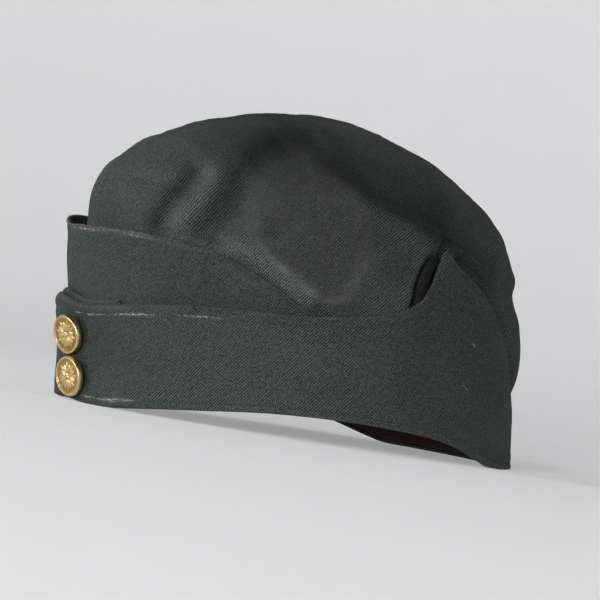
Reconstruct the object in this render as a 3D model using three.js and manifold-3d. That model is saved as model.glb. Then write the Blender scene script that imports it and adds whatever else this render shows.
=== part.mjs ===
// A soft cloth side cap with a turned-up curtain, a peak behind it and two brass buttons.
// Millimetres. +Z is up, the nose points to -Y, and the wearer's left is +X.
// The cap stands on its rim, which arches a little off the surface at both sides.
import * as THREE from 'three';
import { mergeVertices } from 'three/addons/utils/BufferGeometryUtils.js';
import Module from 'manifold-3d';

// Overall sizes
const CAP_LENGTH = 203;
const CAP_WIDTH = 162;
const CREST_HEIGHT = 136.5;
const NOSE_TAPER = 0.1;
const RIM_LIFT = 10.5;

// Cloth walls, and the clearance that two layers keep
const CROWN_WALL = 1.6;
const PEAK_WALL = 2;
const CURTAIN_WALL = 2.2;
const PLY_WALL = 1.1;
const LINING_WALL = 1;
const LAYER_GAP = 0.4;
const SEAM_GAP = 0.3;

// Curtain, peak and lining
const CURTAIN_TIP = 84;
const CURTAIN_FRONT = 41;
const PEAK_HEIGHT = 72;
const PEAK_RIGHT_RISE = 4;
const HEM_THICKNESS = 1.6;
const HEM_TIP = 1.2;
const LINING_DEPTH = 25;
const LAP_LEFT_END = -9;
const LAP_RIGHT_END = 32;
const LAP_STEP_UP = 2.6;
const RISE_START = 94;
const RISE_END = 111;
const NOSE_LEAN = 7;
const REAR_LEAN = 8;
const PEAK_FLARE = 2;
const PEAK_END = 86;
const PEAK_FADE = 14;
const PLY_WIDTH = 6;
const PLY_TIP_DROP = 2;
const PLY_FOOT_DROP = 1;

// Crown
const CREST_BEHIND_NOSE = 27.5;
const CREST_BEFORE_REAR = 33.5;
const SWELL = 6;
const SWELL_HEIGHT = 30;
const SWELL_START = 4;
const FOLD_DEPTH = 4;
const FOLD_START = 16;

// Buttons
const BUTTON_DIAMETER = 16.4;
const BUTTON_THICKNESS = 2.8;
const BUTTON_SPACING = 17;
const BUTTON_MIDDLE = 18.5;
const BUTTON_TURNS = { upper: 10.5, lower: 12.5 };
const BUTTON_SEAT = 0.5;
const SHANK_DIAMETER = 4;
const SHANK_LENGTH = 1.6;
const RIM_STEP = 0.5;
const FIELD_DOME = 0.35;
const RELIEF_HEIGHT = 0.64;
const RELIEF_DEPTH = 0.16;

// Where the right end of the curtain dives under the left one: degrees before the left
// end at which the step inwards and the step up begin, and the length of each step.
const LAP_DIVE = 12.8;
const LAP_STEP = 8;
const LAP_MARGIN = 2.3;

// Shares of the half turn at which the crown's nose section ends and its rear one begins,
// the share over which the rear one comes in, and the share of the rise, next to the
// crest, over which folds die out.
const NOSE_END = 0.3;
const REAR_START = 0.6;
const REAR_BLEND = 0.26;
const FOLD_CREST_FADE = 0.1;

// Fineness of the shells: spans round the cap and up each wall
const CROWN_SPANS = { around: 32, up: 14 };
const LINING_SPANS = { around: 56, up: 2 };
const PEAK_SPANS = { around: 36, up: 5 };
const CURTAIN_SPANS = { short: 14, rise: 10, left: 22, right: 26, up: 5 };
const PLY_SPANS = { around: 4, up: 6 };
const BUTTON_SPANS = 28;
const RELIEF_SPANS = { around: 7, up: 5 };
const FOLD_STEPS = 12;

// Height of the rim over the surface. around: share of the half turn from nose to rear;
// lift: share of RIM_LIFT.
const RIM_ARCH = [
  { around: 0, lift: 0.2 },
  { around: 0.06, lift: 0.05 },
  { around: 0.09, lift: 0 },
  { around: 0.13, lift: 0 },
  { around: 0.17, lift: 0.1 },
  { around: 0.28, lift: 0.46 },
  { around: 0.39, lift: 0.86 },
  { around: 0.5, lift: 1 },
  { around: 0.61, lift: 0.87 },
  { around: 0.67, lift: 0.62 },
  { around: 0.72, lift: 0.28 },
  { around: 0.76, lift: 0.04 },
  { around: 0.79, lift: 0 },
  { around: 1, lift: 0 },
];

// Top edge of the curtain over the surface. height: share of CURTAIN_TIP from the height
// of the front, 0 at CURTAIN_FRONT and 1 at CURTAIN_TIP.
const CURTAIN_EDGE = [
  { around: 0, height: 0 },
  { around: 0.08, height: -0.07 },
  { around: 0.17, height: 0 },
  { around: 0.28, height: 0.1 },
  { around: 0.4, height: 0.17 },
  { around: 0.48, height: 0.26 },
  { around: 0.53, height: 0.36 },
  { around: 0.552, height: 0.46 },
  { around: 0.568, height: 0.68 },
  { around: 0.58, height: 0.96 },
  { around: 0.59, height: 1 },
  { around: 0.61, height: 0.89 },
  { around: 0.67, height: 0.68 },
  { around: 0.73, height: 0.41 },
  { around: 0.79, height: 0.12 },
  { around: 0.81, height: -0.01 },
  { around: 0.835, height: -0.16 },
  { around: 0.86, height: -0.25 },
  { around: 0.89, height: -0.31 },
  { around: 0.93, height: -0.345 },
  { around: 1, height: -0.36 },
];

// Top edge of the peak. height: share of PEAK_HEIGHT.
const PEAK_EDGE = [
  { around: 0, height: 1 },
  { around: 0.17, height: 1 },
  { around: 0.22, height: 0.975 },
  { around: 0.28, height: 0.94 },
  { around: 0.33, height: 0.87 },
  { around: 0.39, height: 0.73 },
  { around: 0.44, height: 0.6 },
  { around: 0.52, height: 0.5 },
];

// How far the turned-up layers lean out at the height of CURTAIN_FRONT.
// nose: share of NOSE_LEAN; rear: share of REAR_LEAN, inwards.
const LAYER_LEAN = [
  { around: 0, nose: 1, rear: 0 },
  { around: 0.12, nose: 0.7, rear: 0 },
  { around: 0.25, nose: 0.25, rear: 0 },
  { around: 0.4, nose: 0, rear: 0 },
  { around: 0.65, nose: 0, rear: 0.1 },
  { around: 0.8, nose: 0, rear: 0.55 },
  { around: 1, nose: 0, rear: 1 },
];

// Height of the crest over the rim. back: share of the way from CREST_FRONT to CREST_REAR;
// height: share of CREST_HEIGHT.
const CREST = [
  { back: 0, height: 0.868 },
  { back: 0.12, height: 0.922 },
  { back: 0.28, height: 0.973 },
  { back: 0.42, height: 0.997 },
  { back: 0.52, height: 1 },
  { back: 0.64, height: 0.982 },
  { back: 0.76, height: 0.948 },
  { back: 0.88, height: 0.903 },
  { back: 1, height: 0.842 },
];

// Sections of a crown panel from the rim, rise 0, to the crest, rise 1, at the side, the
// nose and the rear. out: share of the way from the crest out to the rim; up: share of
// the way from the rim up to the crest.
const SIDE_SECTION = [
  { rise: 0, out: 1, up: 0 },
  { rise: 0.48, out: 1, up: 0.48 },
  { rise: 0.58, out: 0.985, up: 0.585 },
  { rise: 0.67, out: 0.925, up: 0.685 },
  { rise: 0.76, out: 0.81, up: 0.78 },
  { rise: 0.84, out: 0.64, up: 0.865 },
  { rise: 0.92, out: 0.38, up: 0.94 },
  { rise: 1, out: 0, up: 1 },
];
const NOSE_SECTION = [
  { rise: 0, out: 1, up: 0 },
  { rise: 0.12, out: 1.05, up: 0.12 },
  { rise: 0.25, out: 1.12, up: 0.26 },
  { rise: 0.37, out: 1.19, up: 0.4 },
  { rise: 0.48, out: 1.26, up: 0.53 },
  { rise: 0.58, out: 1.3, up: 0.65 },
  { rise: 0.67, out: 1.31, up: 0.74 },
  { rise: 0.76, out: 1.16, up: 0.82 },
  { rise: 0.84, out: 0.86, up: 0.88 },
  { rise: 0.92, out: 0.48, up: 0.94 },
  { rise: 1, out: 0, up: 1 },
];
const REAR_SECTION = [
  { rise: 0, out: 1, up: 0 },
  { rise: 0.12, out: 0.99, up: 0.13 },
  { rise: 0.25, out: 0.98, up: 0.26 },
  { rise: 0.37, out: 0.965, up: 0.38 },
  { rise: 0.48, out: 0.93, up: 0.49 },
  { rise: 0.58, out: 0.868, up: 0.59 },
  { rise: 0.67, out: 0.793, up: 0.68 },
  { rise: 0.76, out: 0.703, up: 0.77 },
  { rise: 0.84, out: 0.567, up: 0.85 },
  { rise: 0.92, out: 0.328, up: 0.925 },
  { rise: 1, out: 0, up: 1 },
];

// How far the crown swells over the edge of the curtain. amount: share of SWELL; reach:
// share of SWELL_HEIGHT; start: share of SWELL_START over the edge.
const CROWN_SWELL = [
  { around: 0, amount: 0, reach: 1, start: 1 },
  { around: 0.3, amount: 0.12, reach: 1, start: 1 },
  { around: 0.42, amount: 0.12, reach: 1, start: 1 },
  { around: 0.5, amount: 0.03, reach: 1, start: 1 },
  { around: 0.56, amount: 0, reach: 1, start: 1 },
  { around: 0.62, amount: 0, reach: 1.1, start: 0.6 },
  { around: 0.7, amount: 0.1, reach: 1.2, start: 0.2 },
  { around: 0.78, amount: 0.5, reach: 1.27, start: 0.3 },
  { around: 0.84, amount: 0.8, reach: 1.27, start: 0.3 },
  { around: 0.9, amount: 0.83, reach: 1.27, start: 0.25 },
  { around: 1, amount: 0.78, reach: 1.27, start: 0.25 },
];

// Folds of the crown, each a bent line seen from the side, from its start over a middle
// to its end. back: share of CAP_LENGTH from the nose; up: share of CREST_HEIGHT; depth:
// share of FOLD_DEPTH, outwards where positive; reach: half width as a share of
// CREST_HEIGHT.
const CROWN_FOLDS = [
  {
    start: { back: 0.08, up: 0.53 },
    middle: { back: 0.095, up: 0.65 },
    end: { back: 0.15, up: 0.75 },
    depth: -0.6,
    reach: 0.05,
  },
  {
    start: { back: 0.155, up: 0.56 },
    middle: { back: 0.186, up: 0.86 },
    end: { back: 0.42, up: 0.93 },
    depth: -1,
    reach: 0.08,
  },
  {
    start: { back: 0.36, up: 0.89 },
    middle: { back: 0.4, up: 0.69 },
    end: { back: 0.84, up: 0.585 },
    depth: 0.8,
    reach: 0.06,
  },
  {
    start: { back: 0.2, up: 0.52 },
    middle: { back: 0.225, up: 0.57 },
    end: { back: 0.26, up: 0.64 },
    depth: 0.4,
    reach: 0.06,
  },
];

// Front edge of the ply in the slit. up: share of the way from its foot to its tip;
// turn: degrees from the nose.
const PLY_EDGE = [
  { up: 0, turn: 92 },
  { up: 0.3, turn: 97 },
  { up: 0.55, turn: 99.5 },
  { up: 0.8, turn: 101.5 },
  { up: 1, turn: 104 },
];

// Outline of a button from under its edge to its rim. out: share of its radius; up: share
// of BUTTON_THICKNESS.
const BUTTON_EDGE = [
  { out: 0.88, up: 0 },
  { out: 1, up: 0.3 },
  { out: 1, up: 0.7 },
  { out: 0.95, up: 1 },
  { out: 0.86, up: 1 },
];

// The domed field inside the rim. out: share of the radius; up: share of FIELD_DOME.
const BUTTON_FIELD = [
  { out: 0.8, up: 0 },
  { out: 0.4, up: 0.75 },
  { out: 0, up: 1 },
];

// Bosses and petals of the rosette on the field. out, length and width: shares of the
// radius; count: how many stand in a ring.
const BUTTON_RELIEF = [
  { out: 0, length: 0.16, width: 0.16, count: 1 },
  { out: 0.46, length: 0.2, width: 0.11, count: 8 },
];

const HALF_TURN = Math.PI;
const DEGREES = Math.PI / 180;

// Smooth value of one column of a table at a position along its first column.
function follow(table, along, column, position) {
  const last = table.length - 1;
  if (position <= table[0][along]) return table[0][column];
  if (position >= table[last][along]) return table[last][column];
  let row = 0;
  while (position > table[row + 1][along]) row += 1;
  const slopeAt = (k) => {
    const before = table[Math.max(k - 1, 0)];
    const after = table[Math.min(k + 1, last)];
    return (after[column] - before[column]) / (after[along] - before[along]);
  };
  const span = table[row + 1][along] - table[row][along];
  const t = (position - table[row][along]) / span;
  const start = table[row][column];
  const end = table[row + 1][column];
  const slopeStart = slopeAt(row) * span;
  const slopeEnd = slopeAt(row + 1) * span;
  const square = t * t;
  const cube = square * t;
  return (2 * cube - 3 * square + 1) * start + (cube - 2 * square + t) * slopeStart
    + (3 * square - 2 * cube) * end + (cube - square) * slopeEnd;
}

function smoothStep(value) {
  const t = Math.min(Math.max(value, 0), 1);
  return t * t * (3 - 2 * t);
}

function range(from, to, count) {
  return Array.from({ length: count + 1 }, (_, k) => from + ((to - from) * k) / count);
}

// Plan of the rim: a point at a turn in radians from the nose, positive to the wearer's
// left, moved in from the outer face of the curtain by inset.
function planPoint(turn, inset) {
  const at = (angle) => new THREE.Vector2(
    (CAP_WIDTH / 2) * Math.sin(angle) * (1 - NOSE_TAPER * Math.cos(angle)),
    (-CAP_LENGTH / 2) * Math.cos(angle),
  );
  const step = 0.01;
  const tangent = at(turn + step).sub(at(turn - step)).normalize();
  const outward = new THREE.Vector2(tangent.y, -tangent.x);
  return { point: at(turn).addScaledVector(outward, -inset), outward };
}

function around(turn) {
  return Math.abs(turn) / HALF_TURN;
}

function rimHeight(turn) {
  return Math.max(follow(RIM_ARCH, 'around', 'lift', around(turn)), 0) * RIM_LIFT;
}

function curtainEdge(turn) {
  const share = follow(CURTAIN_EDGE, 'around', 'height', around(turn));
  return CURTAIN_FRONT + share * (CURTAIN_TIP - CURTAIN_FRONT);
}

function peakEdge(turn) {
  const right = turn < 0 ? Math.sin(Math.min(-turn / (HALF_TURN / 3), 1) * HALF_TURN) : 0;
  return follow(PEAK_EDGE, 'around', 'height', around(turn)) * PEAK_HEIGHT + right * PEAK_RIGHT_RISE;
}

// Height up to which the turned-up layers cover the crown.
function coverHeight(turn) {
  const underPeak = around(turn) * HALF_TURN < PEAK_END * DEGREES;
  return underPeak ? Math.max(curtainEdge(turn), peakEdge(turn)) : curtainEdge(turn);
}

// Outward lean of the turned-up layers at a height.
function lean(turn, z) {
  const nose = follow(LAYER_LEAN, 'around', 'nose', around(turn)) * NOSE_LEAN;
  const rear = follow(LAYER_LEAN, 'around', 'rear', around(turn)) * REAR_LEAN;
  return (nose - rear) * (z / CURTAIN_FRONT);
}

// Depth of each layer in from the outer face of the curtain
const UNDERLAP_INSET = CURTAIN_WALL + LAYER_GAP;
const PEAK_INSET = UNDERLAP_INSET + CURTAIN_WALL + LAYER_GAP;
const PLY_INSET = CURTAIN_WALL + LAYER_GAP;
const CROWN_BEHIND_PEAK = PEAK_INSET + PEAK_WALL + LAYER_GAP;
const CROWN_BEHIND_PLY = PLY_INSET + PLY_WALL + LAYER_GAP;
const LAYER_FOOT = HEM_THICKNESS + LAYER_GAP;

// Depth of the crown behind the outer face of the curtain.
function crownInset(turn) {
  const past = smoothStep((around(turn) * HALF_TURN - PEAK_END * DEGREES) / (PEAK_FADE * DEGREES));
  return CROWN_BEHIND_PEAK + (CROWN_BEHIND_PLY - CROWN_BEHIND_PEAK) * past;
}

// A point of a turned-up layer: at a turn and height, and a depth behind the outer face.
function layerPoint(turn, z, inset) {
  const { point, outward } = planPoint(turn, inset);
  const shift = lean(turn, z);
  return new THREE.Vector3(point.x + outward.x * shift, point.y + outward.y * shift, z);
}

// How far the folds push the crown out at a place seen from the side.
function foldOffset(y, z) {
  const ratio = CAP_LENGTH / CREST_HEIGHT;
  const back = y / CAP_LENGTH + 0.5;
  const up = z / CREST_HEIGHT;
  const endFade = 5;
  const endAmount = 0.25;
  let offset = 0;
  for (const { start, middle, end, depth, reach } of CROWN_FOLDS) {
    let nearest = Infinity;
    let along = 0;
    for (const t of range(0, 1, FOLD_STEPS)) {
      const halfway = 2 * t * (1 - t);
      const bend = (key) => (1 - t) ** 2 * start[key] + halfway * middle[key] + t ** 2 * end[key];
      const distance = Math.hypot((back - bend('back')) * ratio, up - bend('up'));
      if (distance < nearest) {
        nearest = distance;
        along = t;
      }
    }
    const across = Math.exp(-((nearest / reach) ** 2));
    const fade = smoothStep(Math.min(along, 1 - along) * endFade + endAmount);
    offset += depth * FOLD_DEPTH * across * fade;
  }
  return offset;
}

// A point of the crown's outer face, at a turn and a rise from the rim to the crest.
function crownPoint(turn, rise) {
  const share = around(turn);
  const { point, outward } = planPoint(turn, crownInset(turn));
  const back = (1 - Math.cos(share * HALF_TURN)) / 2;
  const crestFront = -CAP_LENGTH / 2 + CREST_BEHIND_NOSE;
  const crestRear = CAP_LENGTH / 2 - CREST_BEFORE_REAR;
  const crestY = crestFront + (crestRear - crestFront) * back;
  const foot = rimHeight(turn) + LAYER_FOOT;
  const crestZ = follow(CREST, 'back', 'height', back) * CREST_HEIGHT;
  const nose = smoothStep(1 - share / NOSE_END);
  const rear = smoothStep((share - REAR_START) / REAR_BLEND);
  const blend = (column) => follow(SIDE_SECTION, 'rise', column, rise) * (1 - nose - rear)
    + follow(NOSE_SECTION, 'rise', column, rise) * nose
    + follow(REAR_SECTION, 'rise', column, rise) * rear;
  const out = blend('out');
  const z = foot + (crestZ - foot) * blend('up');
  const x = point.x * out;
  const y = crestY + (point.y - crestY) * out;
  const cover = coverHeight(turn);
  const swellAt = (column) => follow(CROWN_SWELL, 'around', column, share);
  const start = swellAt('start') * SWELL_START;
  const above = (z - cover - start) / (swellAt('reach') * SWELL_HEIGHT);
  const swell = above > 0 && above < 1 ? Math.sin(Math.sqrt(above) * HALF_TURN) : 0;
  const amount = swellAt('amount') * SWELL * swell;
  const tuck = Math.min(lean(turn, Math.min(z, cover)), 0) * (1 - smoothStep(above));
  const free = smoothStep((z - cover) / FOLD_START) * smoothStep((1 - rise) / FOLD_CREST_FADE);
  const push = amount + tuck + foldOffset(y, z) * free;
  return new THREE.Vector3(x + outward.x * push, y + outward.y * push, z);
}

// A closed body between two grids of points with the same rows and columns. The outer
// grid runs to the wearer's left and upwards.
function clothBody(outer, inner, loop = false) {
  const columns = outer.length;
  const rows = outer[0].length;
  const positions = [];
  for (const grid of [outer, inner]) {
    for (const column of grid) {
      for (const p of column) positions.push(p.x, p.y, p.z);
    }
  }
  const outerAt = (i, j) => (i % columns) * rows + j;
  const innerAt = (i, j) => columns * rows + (i % columns) * rows + j;
  const faces = [];
  const quad = (a, b, c, d) => faces.push(a, b, c, a, c, d);
  const top = rows - 1;
  const spans = loop ? columns : columns - 1;
  for (let i = 0; i < spans; i += 1) {
    for (let j = 0; j < top; j += 1) {
      quad(outerAt(i, j), outerAt(i + 1, j), outerAt(i + 1, j + 1), outerAt(i, j + 1));
      quad(innerAt(i, j), innerAt(i, j + 1), innerAt(i + 1, j + 1), innerAt(i + 1, j));
    }
    quad(outerAt(i, 0), innerAt(i, 0), innerAt(i + 1, 0), outerAt(i + 1, 0));
    quad(outerAt(i, top), outerAt(i + 1, top), innerAt(i + 1, top), innerAt(i, top));
  }
  if (!loop) {
    const end = columns - 1;
    for (let j = 0; j < top; j += 1) {
      quad(outerAt(0, j), outerAt(0, j + 1), innerAt(0, j + 1), innerAt(0, j));
      quad(outerAt(end, j), innerAt(end, j), innerAt(end, j + 1), outerAt(end, j + 1));
    }
  }
  const geometry = new THREE.BufferGeometry();
  geometry.setAttribute('position', new THREE.Float32BufferAttribute(positions, 3));
  geometry.setIndex(faces);
  return geometry;
}

// Keeps a seam column on its own side of the middle plane.
function holdSeam(point, side) {
  point.x = (side * SEAM_GAP) / 2;
  return point;
}

// The inner grid of a cloth wall: the outer one moved in along its normals.
function insideOf(outer, wall, side) {
  const columns = outer.length;
  const rows = outer[0].length;
  return outer.map((column, i) => column.map((point, j) => {
    const alongI = new THREE.Vector3().subVectors(
      outer[Math.min(i + 1, columns - 1)][j],
      outer[Math.max(i - 1, 0)][j],
    );
    const alongJ = new THREE.Vector3().subVectors(
      column[Math.min(j + 1, rows - 1)],
      column[Math.max(j - 1, 0)],
    );
    const normal = alongI.cross(alongJ).normalize();
    const onSeam = i === 0 || i === columns - 1 || j === rows - 1;
    if (onSeam) {
      const flat = Math.max(Math.hypot(normal.y, normal.z), 0.5);
      normal.set(0, normal.y / flat, normal.z / flat);
    }
    const moved = point.clone().addScaledVector(normal, -wall);
    if (onSeam) return holdSeam(moved, side);
    const least = SEAM_GAP / 2;
    moved.x = side * Math.max(side * moved.x, least);
    return moved;
  }));
}

// One side panel of the crown. side: 1 for the wearer's left, -1 for the right.
function crownPanel(side) {
  const from = side > 0 ? 0 : -HALF_TURN;
  const turns = range(from, from + HALF_TURN, CROWN_SPANS.around);
  const rises = range(0, 1, CROWN_SPANS.up);
  const outer = turns.map((turn, i) => rises.map((rise, j) => {
    const point = crownPoint(turn, rise);
    const onSeam = i === 0 || i === turns.length - 1 || j === rises.length - 1;
    return onSeam ? holdSeam(point, side) : point;
  }));
  return clothBody(outer, insideOf(outer, CROWN_WALL, side));
}

// The band inside the rim, a closed ring that follows the crown's wall from inside.
function liningBand() {
  const turns = range(-HALF_TURN, HALF_TURN, LINING_SPANS.around).slice(0, -1);
  const ring = (depth) => turns.map((turn) => range(0, 1, LINING_SPANS.up).map((share) => {
    const place = crownPoint(turn, (share * LINING_DEPTH) / CREST_HEIGHT);
    const { outward } = planPoint(turn, 0);
    return place.add(new THREE.Vector3(-outward.x * depth, -outward.y * depth, 0));
  }));
  const depth = CROWN_WALL + LAYER_GAP;
  return clothBody(ring(depth), ring(depth + LINING_WALL), true);
}

// A turned-up layer as a wall with levels between its foot and its edge.
function turnedUp(turns, options) {
  const { footOf, edgeOf, insetOf, wall, levels } = options;
  const face = (extra) => turns.map((turn) => range(0, 1, levels).map((share) => {
    const z = footOf(turn) + (edgeOf(turn) - footOf(turn)) * share;
    return layerPoint(turn, z, insetOf(turn, z) + extra);
  }));
  return [face(0), face(wall)];
}

function peak() {
  const end = PEAK_END * DEGREES;
  const [outer, inner] = turnedUp(range(-end, end, PEAK_SPANS.around), {
    footOf: (turn) => rimHeight(turn) + LAYER_FOOT,
    edgeOf: peakEdge,
    insetOf: (turn, z) => {
      const free = Math.max(z - curtainEdge(turn), 0);
      return PEAK_INSET - (free / PEAK_HEIGHT) * PEAK_FLARE * Math.cos(turn);
    },
    wall: PEAK_WALL,
    levels: PEAK_SPANS.up,
  });
  return clothBody(outer, inner);
}

// Adds the hem, which turns in under the other layers, below a curtain's wall.
function withHem(turns, grids, hemDepthOf, insetOf) {
  const [outer, inner] = grids;
  turns.forEach((turn, i) => {
    const z = rimHeight(turn);
    const depth = insetOf(turn, z) + hemDepthOf(turn);
    outer[i].unshift(layerPoint(turn, z, depth));
    inner[i][0] = layerPoint(turn, z + HEM_THICKNESS, insetOf(turn, z) + CURTAIN_WALL);
    inner[i].unshift(layerPoint(turn, z + HEM_TIP, depth));
  });
}

// Turns along a curtain, close together at its rise and on the seam at its end.
function withRise(from, to, side) {
  const start = side * RISE_START * DEGREES;
  const end = side * RISE_END * DEGREES;
  const nearRise = side > 0 ? start : end;
  const farRise = side > 0 ? end : start;
  return [
    ...range(from, nearRise, side > 0 ? CURTAIN_SPANS.left : CURTAIN_SPANS.short).slice(0, -1),
    ...range(nearRise, farRise, CURTAIN_SPANS.rise),
    ...range(farRise, to, side > 0 ? CURTAIN_SPANS.short : CURTAIN_SPANS.right).slice(1),
  ];
}

// One flap of the curtain. The right one dives under the left one over the nose.
function curtain(side) {
  const lapEnd = side > 0 ? LAP_LEFT_END : LAP_RIGHT_END;
  const from = side > 0 ? lapEnd * DEGREES : -HALF_TURN;
  const to = side > 0 ? HALF_TURN : lapEnd * DEGREES;
  const turns = withRise(from, to, side);
  const pastLap = (turn, before) => {
    const start = (LAP_LEFT_END - before) * DEGREES;
    return side > 0 ? 0 : smoothStep((turn - start) / (LAP_STEP * DEGREES));
  };
  const insetOf = (turn) => UNDERLAP_INSET * pastLap(turn, LAP_DIVE);
  const edgeOf = (turn) => curtainEdge(turn) + LAP_STEP_UP * pastLap(turn, LAP_STEP);
  const hemDepthOf = (turn) => {
    const full = crownInset(turn) + CROWN_WALL - insetOf(turn);
    const clearOfLap = (LAP_RIGHT_END + LAP_MARGIN) * DEGREES;
    return side > 0 && turn < clearOfLap ? CURTAIN_WALL : full;
  };
  const grids = turnedUp(turns, {
    footOf: rimHeight,
    edgeOf,
    insetOf,
    wall: CURTAIN_WALL,
    levels: CURTAIN_SPANS.up,
  });
  withHem(turns, grids, hemDepthOf, insetOf);
  const seam = side > 0 ? turns.length - 1 : 0;
  for (const grid of grids) grid[seam].forEach((point) => holdSeam(point, side));
  return clothBody(grids[0], grids[1]);
}

// The ply that shows between the curtain's rise and the crown.
function slitPly(side) {
  const foot = CURTAIN_FRONT - PLY_FOOT_DROP;
  const tip = CURTAIN_TIP - PLY_TIP_DROP;
  const ups = range(0, 1, PLY_SPANS.up);
  const face = (inset) => range(0, 1, PLY_SPANS.around).map((share) => ups.map((up) => {
    const z = foot + (tip - foot) * up;
    const start = follow(PLY_EDGE, 'up', 'turn', up);
    const across = side > 0 ? share : 1 - share;
    return layerPoint(side * (start + PLY_WIDTH * across) * DEGREES, z, inset);
  }));
  return clothBody(face(PLY_INSET), face(PLY_INSET + PLY_WALL));
}

const wasm = await Module();
wasm.setup();

function toSolid(geometry) {
  const bare = geometry.clone();
  bare.deleteAttribute('normal');
  bare.deleteAttribute('uv');
  const merged = mergeVertices(bare, 1e-4);
  const mesh = new wasm.Mesh({
    numProp: 3,
    vertProperties: new Float32Array(merged.attributes.position.array),
    triVerts: new Uint32Array(merged.index.array),
  });
  return new wasm.Manifold(mesh);
}

function toGeometry(solid) {
  const mesh = solid.getMesh();
  const places = new THREE.BufferAttribute(new Float32Array(mesh.vertProperties), 3);
  const geometry = new THREE.BufferGeometry();
  geometry.setAttribute('position', places);
  geometry.setIndex(new THREE.BufferAttribute(new Uint32Array(mesh.triVerts), 1));
  return geometry;
}

// A stamped button with a raised rim and a rosette, on a short shank. It stands on z = 0
// and faces +Z.
function buttonGeometry() {
  const radius = BUTTON_DIAMETER / 2;
  const field = SHANK_LENGTH + BUTTON_THICKNESS - RIM_STEP;
  const profile = [
    new THREE.Vector2(0, 0),
    new THREE.Vector2(SHANK_DIAMETER / 2, 0),
    new THREE.Vector2(SHANK_DIAMETER / 2, SHANK_LENGTH),
  ];
  for (const { out, up } of BUTTON_EDGE) {
    profile.push(new THREE.Vector2(radius * out, SHANK_LENGTH + BUTTON_THICKNESS * up));
  }
  for (const { out, up } of BUTTON_FIELD) {
    profile.push(new THREE.Vector2(radius * out, field + FIELD_DOME * up));
  }
  let solid = toSolid(new THREE.LatheGeometry(profile, BUTTON_SPANS).rotateX(HALF_TURN / 2));
  for (const { out, length, width, count } of BUTTON_RELIEF) {
    const floor = field + FIELD_DOME * (1 - out ** 2);
    for (let k = 0; k < count; k += 1) {
      const boss = new THREE.SphereGeometry(1, RELIEF_SPANS.around, RELIEF_SPANS.up);
      boss.rotateX(HALF_TURN / 2);
      boss.scale(radius * length, radius * width, RELIEF_HEIGHT + RELIEF_DEPTH);
      boss.translate(radius * out, 0, floor - RELIEF_DEPTH);
      boss.rotateZ((k * 2 * HALF_TURN) / count);
      solid = solid.add(toSolid(boss));
    }
  }
  return toGeometry(solid);
}

// Seats a button on the curtain's outer face, square to the cloth.
function seatButton(mesh, turn, z) {
  const slope = (lean(turn, CURTAIN_FRONT) - lean(turn, 0)) / CURTAIN_FRONT;
  const { outward } = planPoint(turn, 0);
  const facing = new THREE.Vector3(outward.x, outward.y, -slope).normalize();
  mesh.quaternion.setFromUnitVectors(new THREE.Vector3(0, 0, 1), facing);
  mesh.position.copy(layerPoint(turn, z, 0)).addScaledVector(facing, BUTTON_SEAT);
}

const cloth = (color) => new THREE.MeshStandardMaterial({ color, roughness: 0.95, metalness: 0 });
const cap = new THREE.Group();

function addPiece(name, geometry, material) {
  const mesh = new THREE.Mesh(geometry, material);
  mesh.name = name;
  cap.add(mesh);
  return mesh;
}

addPiece('crown_left', crownPanel(1), cloth('#3a413e'));
addPiece('crown_right', crownPanel(-1), cloth('#3a413e'));
addPiece('peak', peak(), cloth('#3b423f'));
addPiece('curtain_left', curtain(1), cloth('#3a413e'));
addPiece('curtain_right', curtain(-1), cloth('#3a413e'));
addPiece('lining_band', liningBand(), cloth('#2a1f1d'));

addPiece('slit_ply_left', slitPly(1), cloth('#4a4746'));
addPiece('slit_ply_right', slitPly(-1), cloth('#4a4746'));

const brass = new THREE.MeshStandardMaterial({ color: '#b98f4a', roughness: 0.35, metalness: 1 });
const buttonHeights = {
  upper: BUTTON_MIDDLE + BUTTON_SPACING / 2,
  lower: BUTTON_MIDDLE - BUTTON_SPACING / 2,
};
for (const [name, height] of Object.entries(buttonHeights)) {
  const button = addPiece(`button_${name}`, buttonGeometry(), brass.clone());
  seatButton(button, BUTTON_TURNS[name] * DEGREES, height);
}

// The middle of the footprint stands on the origin.
const box = new THREE.Box3().setFromObject(cap, true);
cap.position.set(-(box.min.x + box.max.x) / 2, -(box.min.y + box.max.y) / 2, -box.min.z);

export default cap;
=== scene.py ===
"""A soft side cap of dark green twill: a turned-up curtain, a peaked tier and brass buttons."""

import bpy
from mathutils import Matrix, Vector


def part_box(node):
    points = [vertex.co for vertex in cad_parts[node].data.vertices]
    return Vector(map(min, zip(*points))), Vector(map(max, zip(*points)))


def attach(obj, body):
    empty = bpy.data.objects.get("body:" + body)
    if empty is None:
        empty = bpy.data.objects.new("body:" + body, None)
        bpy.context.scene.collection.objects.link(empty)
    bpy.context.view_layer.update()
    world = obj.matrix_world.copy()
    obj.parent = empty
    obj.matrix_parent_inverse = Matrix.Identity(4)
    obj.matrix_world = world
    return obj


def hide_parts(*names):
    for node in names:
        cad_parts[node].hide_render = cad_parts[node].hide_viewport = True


bl_info = {
    "name": "Garrison Cap",
    "version": (1, 0, 0),
    "blender": (4, 5, 0),
    "location": "3D View > Sidebar > Cap",
    "description": "Builds a twill side cap with its seams, stitches, wear and buttons",
    "category": "Add Mesh",
}

import math
from collections import namedtuple

import bmesh
import bpy
import numpy as np
from bpy.props import FloatProperty, FloatVectorProperty, IntProperty, PointerProperty
from mathutils import Matrix, Vector

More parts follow.
